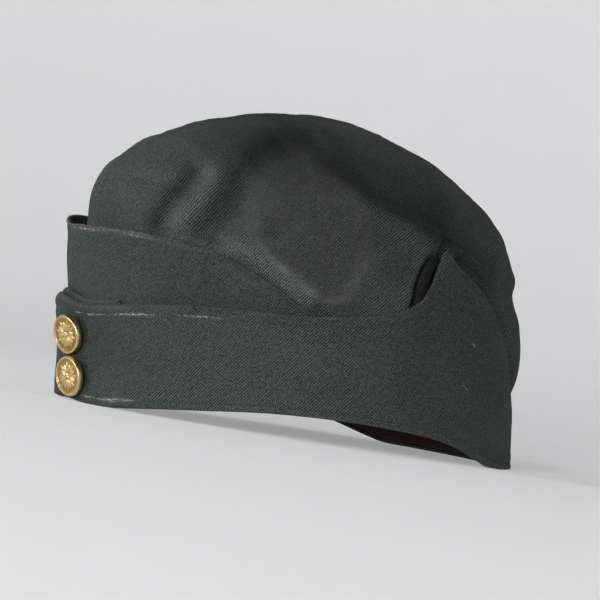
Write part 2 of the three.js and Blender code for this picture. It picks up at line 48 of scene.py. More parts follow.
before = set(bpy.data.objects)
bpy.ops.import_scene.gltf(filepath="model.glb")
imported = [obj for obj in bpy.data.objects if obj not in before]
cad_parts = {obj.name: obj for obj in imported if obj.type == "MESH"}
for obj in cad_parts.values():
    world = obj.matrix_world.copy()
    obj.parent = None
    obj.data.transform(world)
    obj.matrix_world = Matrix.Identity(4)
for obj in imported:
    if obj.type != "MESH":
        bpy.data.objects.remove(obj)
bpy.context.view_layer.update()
CURTAIN_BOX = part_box("curtain_left")
BODY = "root"
UV_TILE = 100.0  # millimetres of cloth to one unit of the UV map
SEAM_HALF = 0.04  # millimetres from the middle to a panel's edge at a seam

# Millimetres along each layer for one radian of turn.
CROWN_RADIUS = 80
PEAK_RADIUS = 84
CURTAIN_RADIUS = 88
NOSE_RADIUS = 92  # of the curtain round the buttons

# Stations round the cap and rows up its layers.
CROWN_STATIONS, CROWN_ROWS, CROWN_INNER_ROWS = 290, 150, 40
CURTAIN_STATIONS, CURTAIN_ROWS = 430, 70
PEAK_STATIONS, PEAK_ROWS = 340, 64

SIDES = ((1, "left"), (-1, "right"))

# Height of the rim over the surface: share of the half turn, share of the lift.
RIM_ARCH = (
    (0, 0.2), (0.06, 0.05), (0.09, 0), (0.13, 0), (0.17, 0.1), (0.28, 0.46), (0.39, 0.86),
    (0.5, 1), (0.61, 0.87), (0.67, 0.62), (0.72, 0.28), (0.76, 0.04), (0.79, 0), (1, 0),
)

# Top edge of the curtain: share of the half turn, share of the way from front to tip.
CURTAIN_EDGE = (
    (0, 0.06), (0.08, -0.02), (0.17, 0.045), (0.28, 0.135), (0.4, 0.19), (0.48, 0.28),
    (0.516, 0.35), (0.544, 0.445), (0.562, 0.565), (0.573, 0.74), (0.5785, 0.92),
    (0.5825, 1.01), (0.587, 1.03), (0.61, 0.91), (0.67, 0.68), (0.73, 0.41), (0.79, 0.12),
    (0.81, -0.01), (0.835, -0.16), (0.86, -0.25), (0.89, -0.31), (0.93, -0.345), (1, -0.36),
)

# Top edge of the peak: share of the half turn, share of its height.
PEAK_EDGE = (
    (0, 1), (0.17, 1), (0.22, 0.985), (0.28, 0.953), (0.33, 0.886), (0.38, 0.79), (0.42, 0.7),
    (0.47, 0.6), (0.52, 0.5),
)

# Lean of the turned-up layers: share of the half turn, share of the nose's lean outwards,
# share of the rear's lean inwards.
LAYER_LEAN = (
    (0, 1, 0), (0.12, 0.7, 0), (0.25, 0.25, 0), (0.4, 0, 0), (0.65, 0, 0.1), (0.8, 0, 0.55),
    (1, 0, 1),
)

# Height of the crest: share of its length, share of its height.
CREST = (
    (0, 0.868), (0.12, 0.922), (0.28, 0.973), (0.42, 0.997), (0.52, 1), (0.64, 0.982),
    (0.76, 0.948), (0.88, 0.903), (1, 0.842),
)

# Sections of the crown from rim to crest: rise, share out from the crest, share up.
SIDE_SECTION = (
    (0, 1, 0), (0.48, 1, 0.48), (0.58, 0.985, 0.585), (0.67, 0.925, 0.685), (0.76, 0.81, 0.78),
    (0.84, 0.64, 0.865), (0.92, 0.38, 0.94), (1, 0, 1),
)
NOSE_SECTION = (
    (0, 1, 0), (0.12, 1.05, 0.12), (0.25, 1.12, 0.26), (0.37, 1.19, 0.4), (0.48, 1.26, 0.53),
    (0.58, 1.3, 0.65), (0.67, 1.31, 0.74), (0.76, 1.16, 0.82), (0.84, 0.86, 0.88),
    (0.92, 0.48, 0.94), (1, 0, 1),
)
REAR_SECTION = (
    (0, 1, 0), (0.12, 0.99, 0.13), (0.25, 0.98, 0.26), (0.37, 0.965, 0.38), (0.48, 0.93, 0.49),
    (0.58, 0.868, 0.59), (0.67, 0.793, 0.68), (0.76, 0.703, 0.77), (0.84, 0.567, 0.85),
    (0.92, 0.328, 0.925), (1, 0, 1),
)

# Swell of the crown over the curtain: share of the half turn, share of the swell, share of its
# height, and share of the gap under it.
CROWN_SWELL = (
    (0, 0, 1, 1), (0.3, 0.12, 1, 1), (0.42, 0.12, 1, 1), (0.5, 0.03, 1, 1), (0.56, 0, 1, 1),
    (0.62, 0, 1.1, 0.6), (0.7, 0.1, 1.2, 0.2), (0.78, 0.5, 1.27, 0.3), (0.84, 0.8, 1.27, 0.3),
    (0.9, 0.83, 1.27, 0.25), (1, 0.78, 1.27, 0.25),
)

# Front edge of the ply in the slit: share up, degrees from the nose.
PLY_EDGE = ((0, 94), (0.3, 98), (0.5, 99.4), (0.7, 100), (0.87, 101), (1, 103.2))

# Creases of the crown seen from the side. depth: share of the fold depth, outwards where
# positive; below and above: half widths in millimetres to the right and left of the path;
# right: how much of it the right side has; over: how far over the turned-up layers it begins,
# in millimetres; path: shares of the length from the nose and of the crest height.
Crease = namedtuple("Crease", "depth below above right over path")
CREASES = (
    # two tucks at the front, the ridge between them and the hollow that the second ends in
    Crease(-0.95, 4.4, 4, 0.5, 4, ((0.088, 0.5), (0.1, 0.59), (0.12, 0.665), (0.17, 0.76))),
    Crease(-1.6, 6.5, 8, 0.6, 5, ((0.168, 0.49), (0.182, 0.55), (0.219, 0.645), (0.24, 0.74),
                                  (0.285, 0.812), (0.365, 0.872), (0.43, 0.895))),
    Crease(0.6, 4.5, 3.6, 0.5, 4, ((0.118, 0.54), (0.134, 0.61), (0.162, 0.665), (0.182, 0.72),
                                   (0.215, 0.79))),
    Crease(-0.6, 9, 9, 0.5, 5, ((0.245, 0.76), (0.285, 0.825), (0.34, 0.875), (0.42, 0.9))),
    # the long edge from the crest to the tip, and the hollow over it
    Crease(0.8, 12, 3.6, 0.7, 8, ((0.355, 0.9), (0.412, 0.812), (0.45, 0.761), (0.493, 0.722),
                                  (0.56, 0.691), (0.624, 0.656), (0.72, 0.628), (0.772, 0.606),
                                  (0.847, 0.594), (0.95, 0.59))),
    Crease(-1.3, 5, 13, 0.7, 8, ((0.385, 0.93), (0.437, 0.847), (0.472, 0.8), (0.51, 0.768),
                                 (0.572, 0.74), (0.636, 0.705), (0.722, 0.675), (0.84, 0.64))),
    Crease(-0.35, 2.2, 3, 0.5, 8, ((0.755, 0.8), (0.766, 0.772), (0.791, 0.735), (0.826, 0.693),
                                   (0.85, 0.655))),
    # the hollow between that edge and the curtain, and the one under the edge's tail
    Crease(-1.3, 7, 6.5, 0.8, -9, ((0.655, 0.6), (0.682, 0.58), (0.729, 0.545), (0.789, 0.505),
                                   (0.832, 0.45), (0.862, 0.39))),
    Crease(-0.6, 8, 6, 0.7, 2, ((0.8, 0.575), (0.86, 0.55), (0.93, 0.53), (1.05, 0.5))),
    # the hollow that the slit's ply lies in
    Crease(-0.8, 7, 1.0, 1, -7, ((0.578, 0.42), (0.582, 0.455), (0.584, 0.476), (0.585, 0.514),
                                 (0.589, 0.551), (0.595, 0.581), (0.608, 0.632))),
    Crease(-0.25, 5, 7, 1, -3, ((0.55, 0.43), (0.553, 0.49), (0.558, 0.54), (0.575, 0.6))),
    # fullness over the end of the peak, and a small tuck behind it
    Crease(0.5, 4, 5, 1, -1, ((0.188, 0.542), (0.234, 0.518), (0.27, 0.505), (0.311, 0.465),
                              (0.355, 0.42), (0.394, 0.405))),
    Crease(-0.25, 1.8, 1.8, 0, 0, ((0.402, 0.44), (0.4, 0.41), (0.4, 0.37))),
    Crease(0.45, 7, 5, 0.5, 3, ((0.235, 0.5), (0.255, 0.56), (0.28, 0.61))),
)

# Painted light and shade on the crown's cloth: paler where light falls, darker where shade falls.
# reach: half width in millimetres; amount: how much paler; path: shares as for the creases.
Tone = namedtuple("Tone", "reach amount path")
CROWN_PAINTED_LIGHT = (
    # painted highlights on the ridge between the front tucks, on the fullness over the peak's end
    # and on the crown's front
    Tone(5, 0.66, ((0.113, 0.55), (0.124, 0.6), (0.152, 0.66), (0.172, 0.717), (0.19, 0.76))),
    Tone(4.6, 0.55, ((0.188, 0.542), (0.234, 0.518), (0.27, 0.505), (0.311, 0.465), (0.355, 0.42),
                     (0.394, 0.405))),
    Tone(13, 0.36, ((0.09, 0.68), (0.1, 0.78), (0.14, 0.85))),
    # painted shade in the folds, on the top and in the hollow over the long edge
    Tone(3.8, -0.6, ((0.08, 0.53), (0.098, 0.607), (0.115, 0.656), (0.14, 0.709), (0.165, 0.755))),
    Tone(6, -0.3, ((0.161, 0.579), (0.205, 0.681), (0.24, 0.76), (0.285, 0.839), (0.34, 0.89))),
    Tone(9, -0.25, ((0.25, 0.8), (0.285, 0.84), (0.33, 0.885))),
    Tone(13, -0.5, ((0.3, 0.93), (0.4, 0.9), (0.48, 0.84), (0.56, 0.78), (0.68, 0.7))),
    Tone(5.5, -0.36, ((0.385, 0.86), (0.414, 0.8), (0.45, 0.775), (0.49, 0.736), (0.57, 0.697),
                      (0.66, 0.66))),
    # a painted shadow along the slit's edge, and painted shade before and behind the slit
    Tone(1.5, -0.7, ((0.576, 0.43), (0.581, 0.455), (0.583, 0.476), (0.584, 0.514), (0.588, 0.551),
                     (0.594, 0.581), (0.602, 0.61))),
    Tone(9, -0.3, ((0.44, 0.64), (0.51, 0.6), (0.545, 0.5))),
    Tone(9, -0.36, ((0.62, 0.66), (0.7, 0.63), (0.8, 0.58))),
)

# Painted light and shade on the left curtain: turn in degrees, height in millimetres, half widths
# in degrees and millimetres, and how much paler.
CURTAIN_PAINTED_LIGHT = (
    # painted shade at the front, high by the tip and low behind the slit; painted light at the
    # rear, in the middle and by the foot
    (13, 24, 12, 40, -0.22), (109, 66, 14, 24, -0.3), (118, 32, 14, 22, -0.14),
    (152, 34, 7, 20, 0.25), (72, 22, 12, 30, 0.1), (60, 8, 60, 8, 0.12),
)

# Outline of the rubbed mark on the left of the crown: shares as for the creases.
MARK_OUTLINE = (
    (0.35, 0.878), (0.376, 0.876), (0.403, 0.84), (0.428, 0.771), (0.464, 0.705), (0.476, 0.634),
    (0.482, 0.555), (0.47, 0.483), (0.452, 0.433), (0.414, 0.411), (0.372, 0.425), (0.32, 0.473),
    (0.273, 0.518), (0.25, 0.565), (0.246, 0.662), (0.274, 0.751), (0.31, 0.82),
)

ROW = 4.1  # millimetres from the curtain's top edge to its stitches
HEM_ROW = 3.0  # millimetres from its foot to the stitches
PEAK_ROW = 1.6  # millimetres from the peak's edge to its stitches
LAST_TOP_STITCH = 101  # degrees of turn where the curtain's upper row ends, at the slit

# Rubbed stretches of the stitch rows: turn in degrees, reach in degrees, half width of the
# rubbed cloth in millimetres, amount.
CURTAIN_WEAR = ((31, 5.5, 0.5, 0.9), (49.5, 4, 0.2, 0.8), (19, 2.5, 0.4, 0.5), (12, 1.5, 0.3, 0.4))
HEM_WEAR = ((27, 3.5, 0.7, 0.8), (33, 2.5, 0.5, 0.5), (18, 4, 0.6, 0.35))
PEAK_WEAR = ((9, 5.5, 0.6, 0.9), (28, 4, 0.45, 0.55), (39, 4, 0.4, 0.2))

# Lint on the left curtain: turn in degrees, height in millimetres, degrees that it runs down
# towards the rear, length in millimetres, how pale it is.
LINT = (
    (117.8, 49.6, 31, 2.1, 1), (116.9, 31.8, 17, 5.4, 0.35), (66, 22, 70, 0.6, 0.8),
    (139, 27, 20, 0.8, 0.7),
)


def metres(label, says, value):
    """A length that the panel shows in the scene's unit."""
    return FloatProperty(
        name=label, description=says, default=value, min=0, precision=4, unit="LENGTH"
    )


def tint(label, says, value):
    """A colour, linear."""
    return FloatVectorProperty(
        name=label, description=says, default=value, size=3, min=0, max=1, subtype="COLOR"
    )


def slant(label, says, degrees):
    """An angle that the panel shows in degrees."""
    value = math.radians(degrees)
    return FloatProperty(name=label, description=says, default=value, subtype="ANGLE")


class CapSizes(bpy.types.PropertyGroup):
    """Sizes of the cap. They match the solids that the pieces stand for."""

    length: metres("Length", "Length of the cap over the curtain at the rim", 0.203)
    width: metres("Width", "Width of the cap over the curtain at the rim", 0.162)
    crest_height: metres("Crest height", "Height of the crest over the surface", 0.1365)
    rim_lift: metres("Rim lift", "How far the rim arches off the surface at the sides", 0.0105)
    curtain_front: metres("Curtain front", "Height of the curtain at the nose", 0.041)
    curtain_tip: metres("Curtain tip", "Height of the curtain's tip", 0.084)
    peak_height: metres("Peak height", "Height of the peak at the nose", 0.072)
    crown_wall: metres("Crown wall", "Thickness of the crown's cloth", 0.0016)
    curtain_wall: metres("Curtain wall", "Thickness of the curtain's doubled cloth", 0.0022)
    peak_wall: metres("Peak wall", "Thickness of the peak's doubled cloth", 0.002)
    fold_depth: metres("Fold depth", "Depth of the crown's deepest crease", 0.004)
    lining_depth: metres("Lining depth", "Height of the band inside the rim", 0.025)
    nose_taper: FloatProperty(
        name="Nose taper", description="How much narrower the nose is than the rear",
        default=0.1, min=0, max=0.4,
    )


class CapCloth(bpy.types.PropertyGroup):
    """Colours and weave of the cloth."""

    dark: tint("Dark thread", "Colour between the ribs of the twill", (0.008, 0.0112, 0.0102))
    light: tint("Light thread", "Colour on the ribs of the twill", (0.077, 0.0905, 0.084))
    worn: tint("Worn thread", "Colour of frayed edges and threads", (0.36, 0.33, 0.3))
    lining: tint("Lining", "Colour of the band inside the rim", (0.03, 0.016, 0.014))
    # the ply's own colour, darkened further as painted shade in the slit
    ply: tint("Slit ply", "Colour of the ply in the slit", (0.0145, 0.0138, 0.0132))
    rib_pitch: metres("Rib pitch", "Distance from rib to rib of the twill", 0.00099)
    rib_angle: slant("Rib angle", "Slope of the ribs", 50)
    stitch_length: metres("Stitch length", "Length of one stitch", 0.0021)
    stitch_gap: metres("Stitch gap", "Distance between two stitches", 0.0007)
    thread_width: metres("Thread width", "Width of the sewing thread", 0.0004)
    seed: IntProperty(name="Seed", description="Seed of what is random", default=7, min=0)


class CapButtons(bpy.types.PropertyGroup):
    """Sizes and colours of the buttons."""

    diameter: metres("Diameter", "Diameter of a button", 0.0164)
    thickness: metres("Thickness", "Height of a button without its shank", 0.0028)
    spacing: metres("Spacing", "Distance between the buttons' middles", 0.017)
    middle: metres("Middle height", "Height halfway between the buttons", 0.0191)
    petals: IntProperty(
        name="Petals", description="Petals of the rosette", default=8, min=4, max=16
    )
    brass: tint("Brass", "Colour of the polished brass", (0.7, 0.54, 0.26))
    tarnish: tint("Tarnish", "Colour in the recesses", (0.3, 0.2, 0.07))


class CapStage(bpy.types.PropertyGroup):
    """Floor, light and camera."""

    floor: tint("Floor", "Colour of the floor and the backdrop", (0.78, 0.78, 0.785))
    glow: FloatProperty(
        name="Glow", description="Light that the backdrop gives", default=0.31, min=0
    )
    azimuth: slant("Azimuth", "Camera's turn from the nose", 68)
    elevation: slant("Elevation", "Camera's height over the aim", -1)
    roll: slant("Roll", "Tilt of the picture", 9.5)
    distance: metres("Distance", "Distance of the camera from its aim", 1.1)
    aim: FloatVectorProperty(
        name="Aim", description="Point in the middle of the picture",
        default=(0.0003, 0.00233, 0.057), size=3, subtype="XYZ", unit="LENGTH",
    )
    lens: FloatProperty(
        name="Lens", description="Focal length in millimetres", default=153.5, min=20
    )


def follow(rows, at, column=1):
    """Smooth values of one column of a table at places along its first column."""
    rows = np.array(rows, float)
    x, y = rows[:, 0], rows[:, column]
    slope = np.empty_like(y)
    slope[1:-1] = (y[2:] - y[:-2]) / (x[2:] - x[:-2])
    slope[0] = (y[1] - y[0]) / (x[1] - x[0])
    slope[-1] = (y[-1] - y[-2]) / (x[-1] - x[-2])
    at = np.clip(at, x[0], x[-1])
    row = np.clip(np.searchsorted(x, at, "right") - 1, 0, len(x) - 2)
    span = x[row + 1] - x[row]
    t = (at - x[row]) / span
    return (
        (2 * t**3 - 3 * t**2 + 1) * y[row]
        + (t**3 - 2 * t**2 + t) * slope[row] * span
        + (3 * t**2 - 2 * t**3) * y[row + 1]
        + (t**3 - t**2) * slope[row + 1] * span
    )


def smooth(value):
    t = np.clip(value, 0, 1)
    return t * t * (3 - 2 * t)


def bell(distance, width):
    return np.exp(-((distance / width) ** 2))


def ripples(u, v, seed, size, stretch=1.0):
    """Soft unevenness between about -1 and 1, with waves of about one size."""
    chance = np.random.default_rng(seed)
    total = np.zeros(np.broadcast(u, v).shape)
    for _ in range(7):
        angle = chance.uniform(0, 2 * math.pi)
        wave = size * chance.uniform(0.6, 1.7)
        phase = chance.uniform(0, 2 * math.pi)
        along = u * math.cos(angle) + v * stretch * math.sin(angle)
        total += np.sin(along * 2 * math.pi / wave + phase)
    return total / 4


def to_path(path, y, z, closed=False):
    """Distance of each place from a path, on which side of it, and the share along it."""
    points = np.array(path, float)
    if closed:
        points = np.vstack([points, points[:1]])
    shares = np.linspace(0, 1, len(points))
    fine = np.linspace(0, 1, 12 * len(points))
    along = np.stack([follow(np.column_stack([shares, points[:, k]]), fine) for k in (0, 1)], 1)
    offsets = np.stack([y.ravel(), z.ravel()], 1)[:, None] - along[None]
    distance = np.hypot(offsets[..., 0], offsets[..., 1])
    near = distance.argmin(1)
    way = np.gradient(along, axis=0)[near]
    off = offsets[np.arange(len(near)), near]
    side = np.sign(way[:, 0] * off[:, 1] - way[:, 1] * off[:, 0])
    shape = y.shape
    return distance.min(1).reshape(shape), side.reshape(shape), fine[near].reshape(shape)


def spread(start, end, count, places=()):
    """Numbers from start to end, closer together near each (place, reach, amount)."""
    fine = np.linspace(start, end, 4000)
    weight = np.ones_like(fine)
    for place, reach, amount in places:
        weight += amount * bell(fine - place, reach)
    total = np.concatenate([[0], np.cumsum((weight[1:] + weight[:-1]) / 2)])
    return np.interp(np.linspace(0, total[-1], count), total, fine)


class Form:
    """The cap's shape in millimetres. Turns are in radians from the nose, positive to the left."""

    layer_gap = 0.4  # between two layers of cloth
    hem = 1.6
    # how far the layers lean out at the nose and in at the rear
    nose_lean = 7
    rear_lean = 8
    # the peak's lean away from the crown, its higher right side, and where it ends
    peak_flare = 2
    peak_right_rise = 5.5
    peak_end = math.radians(86)
    peak_fade = math.radians(14)
    ply_wall = 1.1
    # ends of the two flaps, and where the right one steps in and up to pass under the left one
    lap_left = math.radians(-9)
    lap_right = math.radians(25.5)
    lap_dive = math.radians(12.8)
    lap_step = math.radians(8)
    lap_margin = math.radians(2.3)
    lap_rise = 2.2
    # ends of the crest, and the crown's swell over the curtain
    crest_behind_nose = 27.5
    crest_before_rear = 33.5
    swell = 6
    swell_height = 30
    swell_start = 4
    button_turns = (math.radians(10.5), math.radians(12.5))
    button_seat = 0.5
    shank = 1.6

    def __init__(self, sizes, buttons):
        for key in CapSizes.__annotations__:
            value = getattr(sizes, key)
            setattr(self, key, value if key == "nose_taper" else value * 1000)
        self.shift = CURTAIN_BOX[1].y * 1000 - self.length / 2
        self.under = self.curtain_wall + self.layer_gap
        self.peak_inset = self.under + self.curtain_wall + self.layer_gap
        self.behind_peak = self.peak_inset + self.peak_wall + self.layer_gap
        self.behind_ply = self.under + self.ply_wall + self.layer_gap
        half = buttons.spacing * 500
        self.button_places = (buttons.middle * 1000 + half, buttons.middle * 1000 - half)

    def plan(self, turn, inset):
        """Point of the rim's plan at a depth behind the curtain's outer face, and the way out."""

        def at(angle):
            x = self.width / 2 * np.sin(angle) * (1 - self.nose_taper * np.cos(angle))
            return x, -self.length / 2 * np.cos(angle)

        step = 0.01
        ahead, behind = at(turn + step), at(turn - step)
        along = np.array([ahead[0] - behind[0], ahead[1] - behind[1]])
        along = along / np.hypot(*along)
        out = np.array([along[1], -along[0]])
        x, y = at(turn)
        return x - out[0] * inset, y - out[1] * inset, out

    def rim(self, turn):
        return np.maximum(follow(RIM_ARCH, np.abs(turn) / math.pi), 0) * self.rim_lift

    def curtain_edge(self, turn):
        share = follow(CURTAIN_EDGE, np.abs(turn) / math.pi)
        return self.curtain_front + share * (self.curtain_tip - self.curtain_front)

    def peak_edge(self, turn):
        right = np.where(turn < 0, np.sin(np.clip(-turn / (math.pi / 3), 0, 1) * math.pi), 0)
        left = follow(PEAK_EDGE, np.abs(turn) / math.pi) * self.peak_height
        return left + right * self.peak_right_rise

    def peak_flared(self, turn, height):
        """How far a place of the peak stands over the curtain, and the depth that it flares to."""
        free = np.maximum(height - self.curtain_edge(turn), 0)
        return free, self.peak_inset - free / self.peak_height * self.peak_flare * np.cos(turn)

    def cover(self, turn):
        edge = self.curtain_edge(turn)
        return np.where(np.abs(turn) < self.peak_end, np.maximum(edge, self.peak_edge(turn)), edge)

    def lean(self, turn, z):
        nose = follow(LAYER_LEAN, np.abs(turn) / math.pi, 1) * self.nose_lean
        rear = follow(LAYER_LEAN, np.abs(turn) / math.pi, 2) * self.rear_lean
        return (nose - rear) * (z / self.curtain_front)

    def crown_inset(self, turn):
        past = smooth((np.abs(turn) - self.peak_end) / self.peak_fade)
        return self.behind_peak + (self.behind_ply - self.behind_peak) * past

    def layer(self, turn, z, inset):
        """Point of a turned-up layer at a turn, a height and a depth."""
        turn, z, inset = np.broadcast_arrays(turn, z, inset)
        x, y, out = self.plan(turn, inset)
        lean = self.lean(turn, z)
        return np.stack([x + out[0] * lean, y + out[1] * lean, z], -1)

    def creases(self, y, z, cover, side):
        """How far the creases push the crown out at places seen from the side."""
        total = np.zeros_like(y)
        scale = np.array([self.length, self.crest_height])
        for crease in CREASES:
            path = np.array(crease.path) * scale
            distance, above, share = to_path(path, y + self.length / 2, z)
            reach = np.where(above > 0, crease.above, crease.below)
            fade = smooth(np.minimum(share, 1 - share) * 6 + 0.2)
            free = smooth((z - cover - crease.over + 3) / 4)
            part = crease.depth * (1 if side > 0 else crease.right)
            total += part * self.fold_depth * bell(distance, reach) * fade * free
        return total

    def crown(self, turn, rise, side, creased=True):
        """Point of the crown's outer face at a turn and a rise from rim to crest."""
        turn, rise = np.broadcast_arrays(turn, rise)
        share = np.abs(turn) / math.pi
        px, py, out = self.plan(turn, self.crown_inset(turn))
        back = (1 - np.cos(share * math.pi)) / 2
        front = -self.length / 2 + self.crest_behind_nose
        rear = self.length / 2 - self.crest_before_rear
        crest_y = front + (rear - front) * back
        foot = self.rim(turn) + self.hem + self.layer_gap
        crest_z = follow(CREST, back) * self.crest_height
        nose = smooth(1 - share / 0.3)
        tail = smooth((share - 0.6) / 0.26)

        def blend(column):
            return (
                follow(SIDE_SECTION, rise, column) * (1 - nose - tail)
                + follow(NOSE_SECTION, rise, column) * nose
                + follow(REAR_SECTION, rise, column) * tail
            )

        spanned = blend(1)
        z = foot + (crest_z - foot) * blend(2)
        x = px * spanned
        y = crest_y + (py - crest_y) * spanned
        if not creased:
            return np.stack([x, y, z], -1)
        cover = self.cover(turn)
        reach, start = follow(CROWN_SWELL, share, 2), follow(CROWN_SWELL, share, 3)
        above = (z - cover - start * self.swell_start) / (reach * self.swell_height)
        arch = np.sin(np.sqrt(np.clip(above, 0, 1)) * math.pi)
        lifted = np.where((above > 0) & (above < 1), arch, 0)
        swell = follow(CROWN_SWELL, share) * self.swell * lifted
        tuck = np.minimum(self.lean(turn, np.minimum(z, cover)), 0) * (1 - smooth(above))
        push = swell + tuck + self.creases(y, z, cover, side) * smooth((1 - rise) * 10)
        return np.stack([x + out[0] * push, y + out[1] * push, z], -1)


def form():
    """The cap's shape at the panel's sizes."""
    return Form(bpy.context.scene.cap_sizes, bpy.context.scene.cap_buttons)


def grid_normals(points):
    """Unit normals of a grid of points."""
    across = np.gradient(points, axis=0)
    up = np.gradient(points, axis=1)
    normal = np.cross(across, up)
    return normal / np.maximum(np.linalg.norm(normal, axis=-1, keepdims=True), 1e-9)


def run_lengths(points, axis):
    """Length along one axis of a grid of points, from its start."""
    steps = np.linalg.norm(np.diff(points, axis=axis), axis=-1)
    total = np.cumsum(steps, axis=axis)
    start = np.zeros_like(np.take(total, [0], axis=axis))
    return np.concatenate([start, total], axis=axis)


def place_mark(mesh, label, values, kind="FLOAT", field="value"):
    """Gives each point of a mesh a value of its own."""
    layer = mesh.attributes.new(label, kind, "POINT")
    layer.data.foreach_set(field, np.asarray(values, np.float32).ravel())


def linked(name, data):
    """A new object at the origin with that mesh, lamp or lens."""
    made = bpy.data.objects.new(name, data)
    bpy.context.scene.collection.objects.link(made)
    return made


def mesh_from(name, verts, edges, faces):
    """A mesh in metres from places in the cap's millimetres."""
    mesh = bpy.data.meshes.new(name)
    mesh.from_pydata(((np.asarray(verts) + [0, form().shift, 0]) / 1000).tolist(), edges, faces)
    return mesh


def shade_smooth(mesh):
    mesh.polygons.foreach_set("use_smooth", [True] * len(mesh.polygons))


def build(name, verts, faces, uvs=None, marks=()):
    """A piece at the origin from places in millimetres, with outward faces."""
    mesh = mesh_from(name, verts, [], [list(map(int, f)) for f in faces])
    for label, values in dict(marks).items():
        place_mark(mesh, label, values)
    if uvs is not None:
        layer = mesh.uv_layers.new(name="Cloth")
        layer.data.foreach_set("uv", (np.asarray(uvs, np.float32) / UV_TILE).ravel())
    work = bmesh.new()
    work.from_mesh(mesh)
    bmesh.ops.recalc_face_normals(work, faces=work.faces)
    work.to_mesh(mesh)
    work.free()
    shade_smooth(mesh)
    mesh.update()
    return linked(name, mesh)


def shell(name, loops, uv, ring=False, marks=()):
    """A closed piece from section loops: loops[station, place]. uv has one more place, and one
    more station where it is a ring, so that the map doesn't turn back on itself."""
    stations, places = loops.shape[:2]
    if places % 2:
        raise ValueError(f"{name}: a section needs an even number of places")
    i = np.arange(stations if ring else stations - 1)[:, None]
    j = np.arange(places)[None]
    nexti, nextj = (i + 1) % stations * places, (j + 1) % places
    quads = np.stack([i * places + j, nexti + j, nexti + nextj, i * places + nextj], -1)
    corners = np.stack([uv[i, j], uv[i + 1, j], uv[i + 1, j + 1], uv[i, j + 1]], -2)
    quads, corners = [quads.reshape(-1, 4)], [corners.reshape(-1, 4, 2)]
    if not ring:
        low = np.arange(places // 2 - 1)
        high = places - 1 - low
        end = np.stack([low, low + 1, high - 1, high], -1)
        for station in (0, stations - 1):
            quads.append(station * places + end)
            corners.append(uv[station][end])
    quads, corners = np.concatenate(quads), np.concatenate(corners)
    return build(name, loops.reshape(-1, 3), quads, corners, marks)


def finish(piece, material, slot, *nodes):
    """Gives a piece its material and its place in the frame."""
    if material is not None:
        piece.data.materials.clear()
        piece.data.materials.append(material)
    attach(piece, BODY)
    if nodes:
        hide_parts(*nodes)


def wire(tree, kind, inputs=(), **settings):
    """Adds a node, sets it up and joins its inputs."""
    made = tree.nodes.new(kind)
    for key, value in settings.items():
        setattr(made, key, value)
    for key, value in dict(inputs).items():
        if isinstance(value, bpy.types.NodeSocket):
            tree.links.new(value, made.inputs[key])
        else:
            made.inputs[key].default_value = value
    return made


def sums(tree, operation, first, second=None, third=None, clamp=False):
    """Output of a Math node."""
    given = {k: v for k, v in enumerate((first, second, third)) if v is not None}
    return wire(tree, "ShaderNodeMath", given, operation=operation, use_clamp=clamp).outputs[0]


def blended(tree, amount, first, second):
    """Colour output of a Mix node."""
    made = wire(tree, "ShaderNodeMix", data_type="RGBA")
    for key, value in ((0, amount), (6, first), (7, second)):
        if isinstance(value, bpy.types.NodeSocket):
            tree.links.new(value, made.inputs[key])
        else:
            made.inputs[key].default_value = value if key == 0 else (*value, 1)
    return made.outputs[2]


def bare_material(name):
    """A new material, its node tree and its shader."""
    material = bpy.data.materials.new(name)
    material.use_nodes = True
    tree = material.node_tree
    shader = next(n for n in tree.nodes if n.type == "BSDF_PRINCIPLED")
    return material, tree, shader


def give(shader, values):
    """Sets plain values on a shader's own sockets."""
    for key, value in values.items():
        shader.inputs[key].default_value = value


def cloth_places(tree):
    """Place on the cloth in millimetres: the vector, and its two parts."""
    uv = wire(tree, "ShaderNodeUVMap", uv_map="Cloth").outputs[0]
    place = wire(tree, "ShaderNodeVectorMath", {0: uv, 3: UV_TILE}, operation="SCALE").outputs[0]
    split = wire(tree, "ShaderNodeSeparateXYZ", {0: place})
    return place, split.outputs[0], split.outputs[1]


def noise(tree, place, scale, detail=2.0, rough=0.5):
    inputs = {"Vector": place, "Scale": scale, "Detail": detail, "Roughness": rough}
    return wire(tree, "ShaderNodeTexNoise", inputs).outputs[0]


def speckle(tree, place, size, detail=2.0, rough=0.6):
    """Noise with grains of one size in millimetres."""
    return noise(tree, place, 1 / size, detail, rough)


def uneven(tree, place, size, detail=2.0, rough=0.6):
    """The same noise round zero."""
    return sums(tree, "SUBTRACT", speckle(tree, place, size, detail, rough), 0.5)


def patches(tree, place, size, detail, rough, gain, shift):
    """Patches between 0 and 1: the noise times gain plus shift."""
    grains = speckle(tree, place, size, detail, rough)
    return sums(tree, "MULTIPLY_ADD", grains, gain, shift, clamp=True)


def waves(tree, along, pitch, shift=0.0):
    """A sine wave of one pitch."""
    return sums(tree, "SINE", sums(tree, "MULTIPLY_ADD", along, 2 * math.pi / pitch, shift))


def layered(tree, total, *parts):
    """A value with shares of others added to it, kept between 0 and 1."""
    for k, (part, share) in enumerate(parts):
        total = sums(tree, "MULTIPLY_ADD", part, share, total, clamp=k == len(parts) - 1)
    return total


def bumped(tree, shader, relief, strength, distance):
    """Lets a relief bend the light on the surface."""
    inputs = {"Strength": strength, "Distance": distance, "Height": relief}
    bump = wire(tree, "ShaderNodeBump", inputs)
    tree.links.new(bump.outputs[0], shader.inputs["Normal"])


def attribute(tree, name):
    return wire(tree, "ShaderNodeAttribute", attribute_name=name).outputs["Fac"]


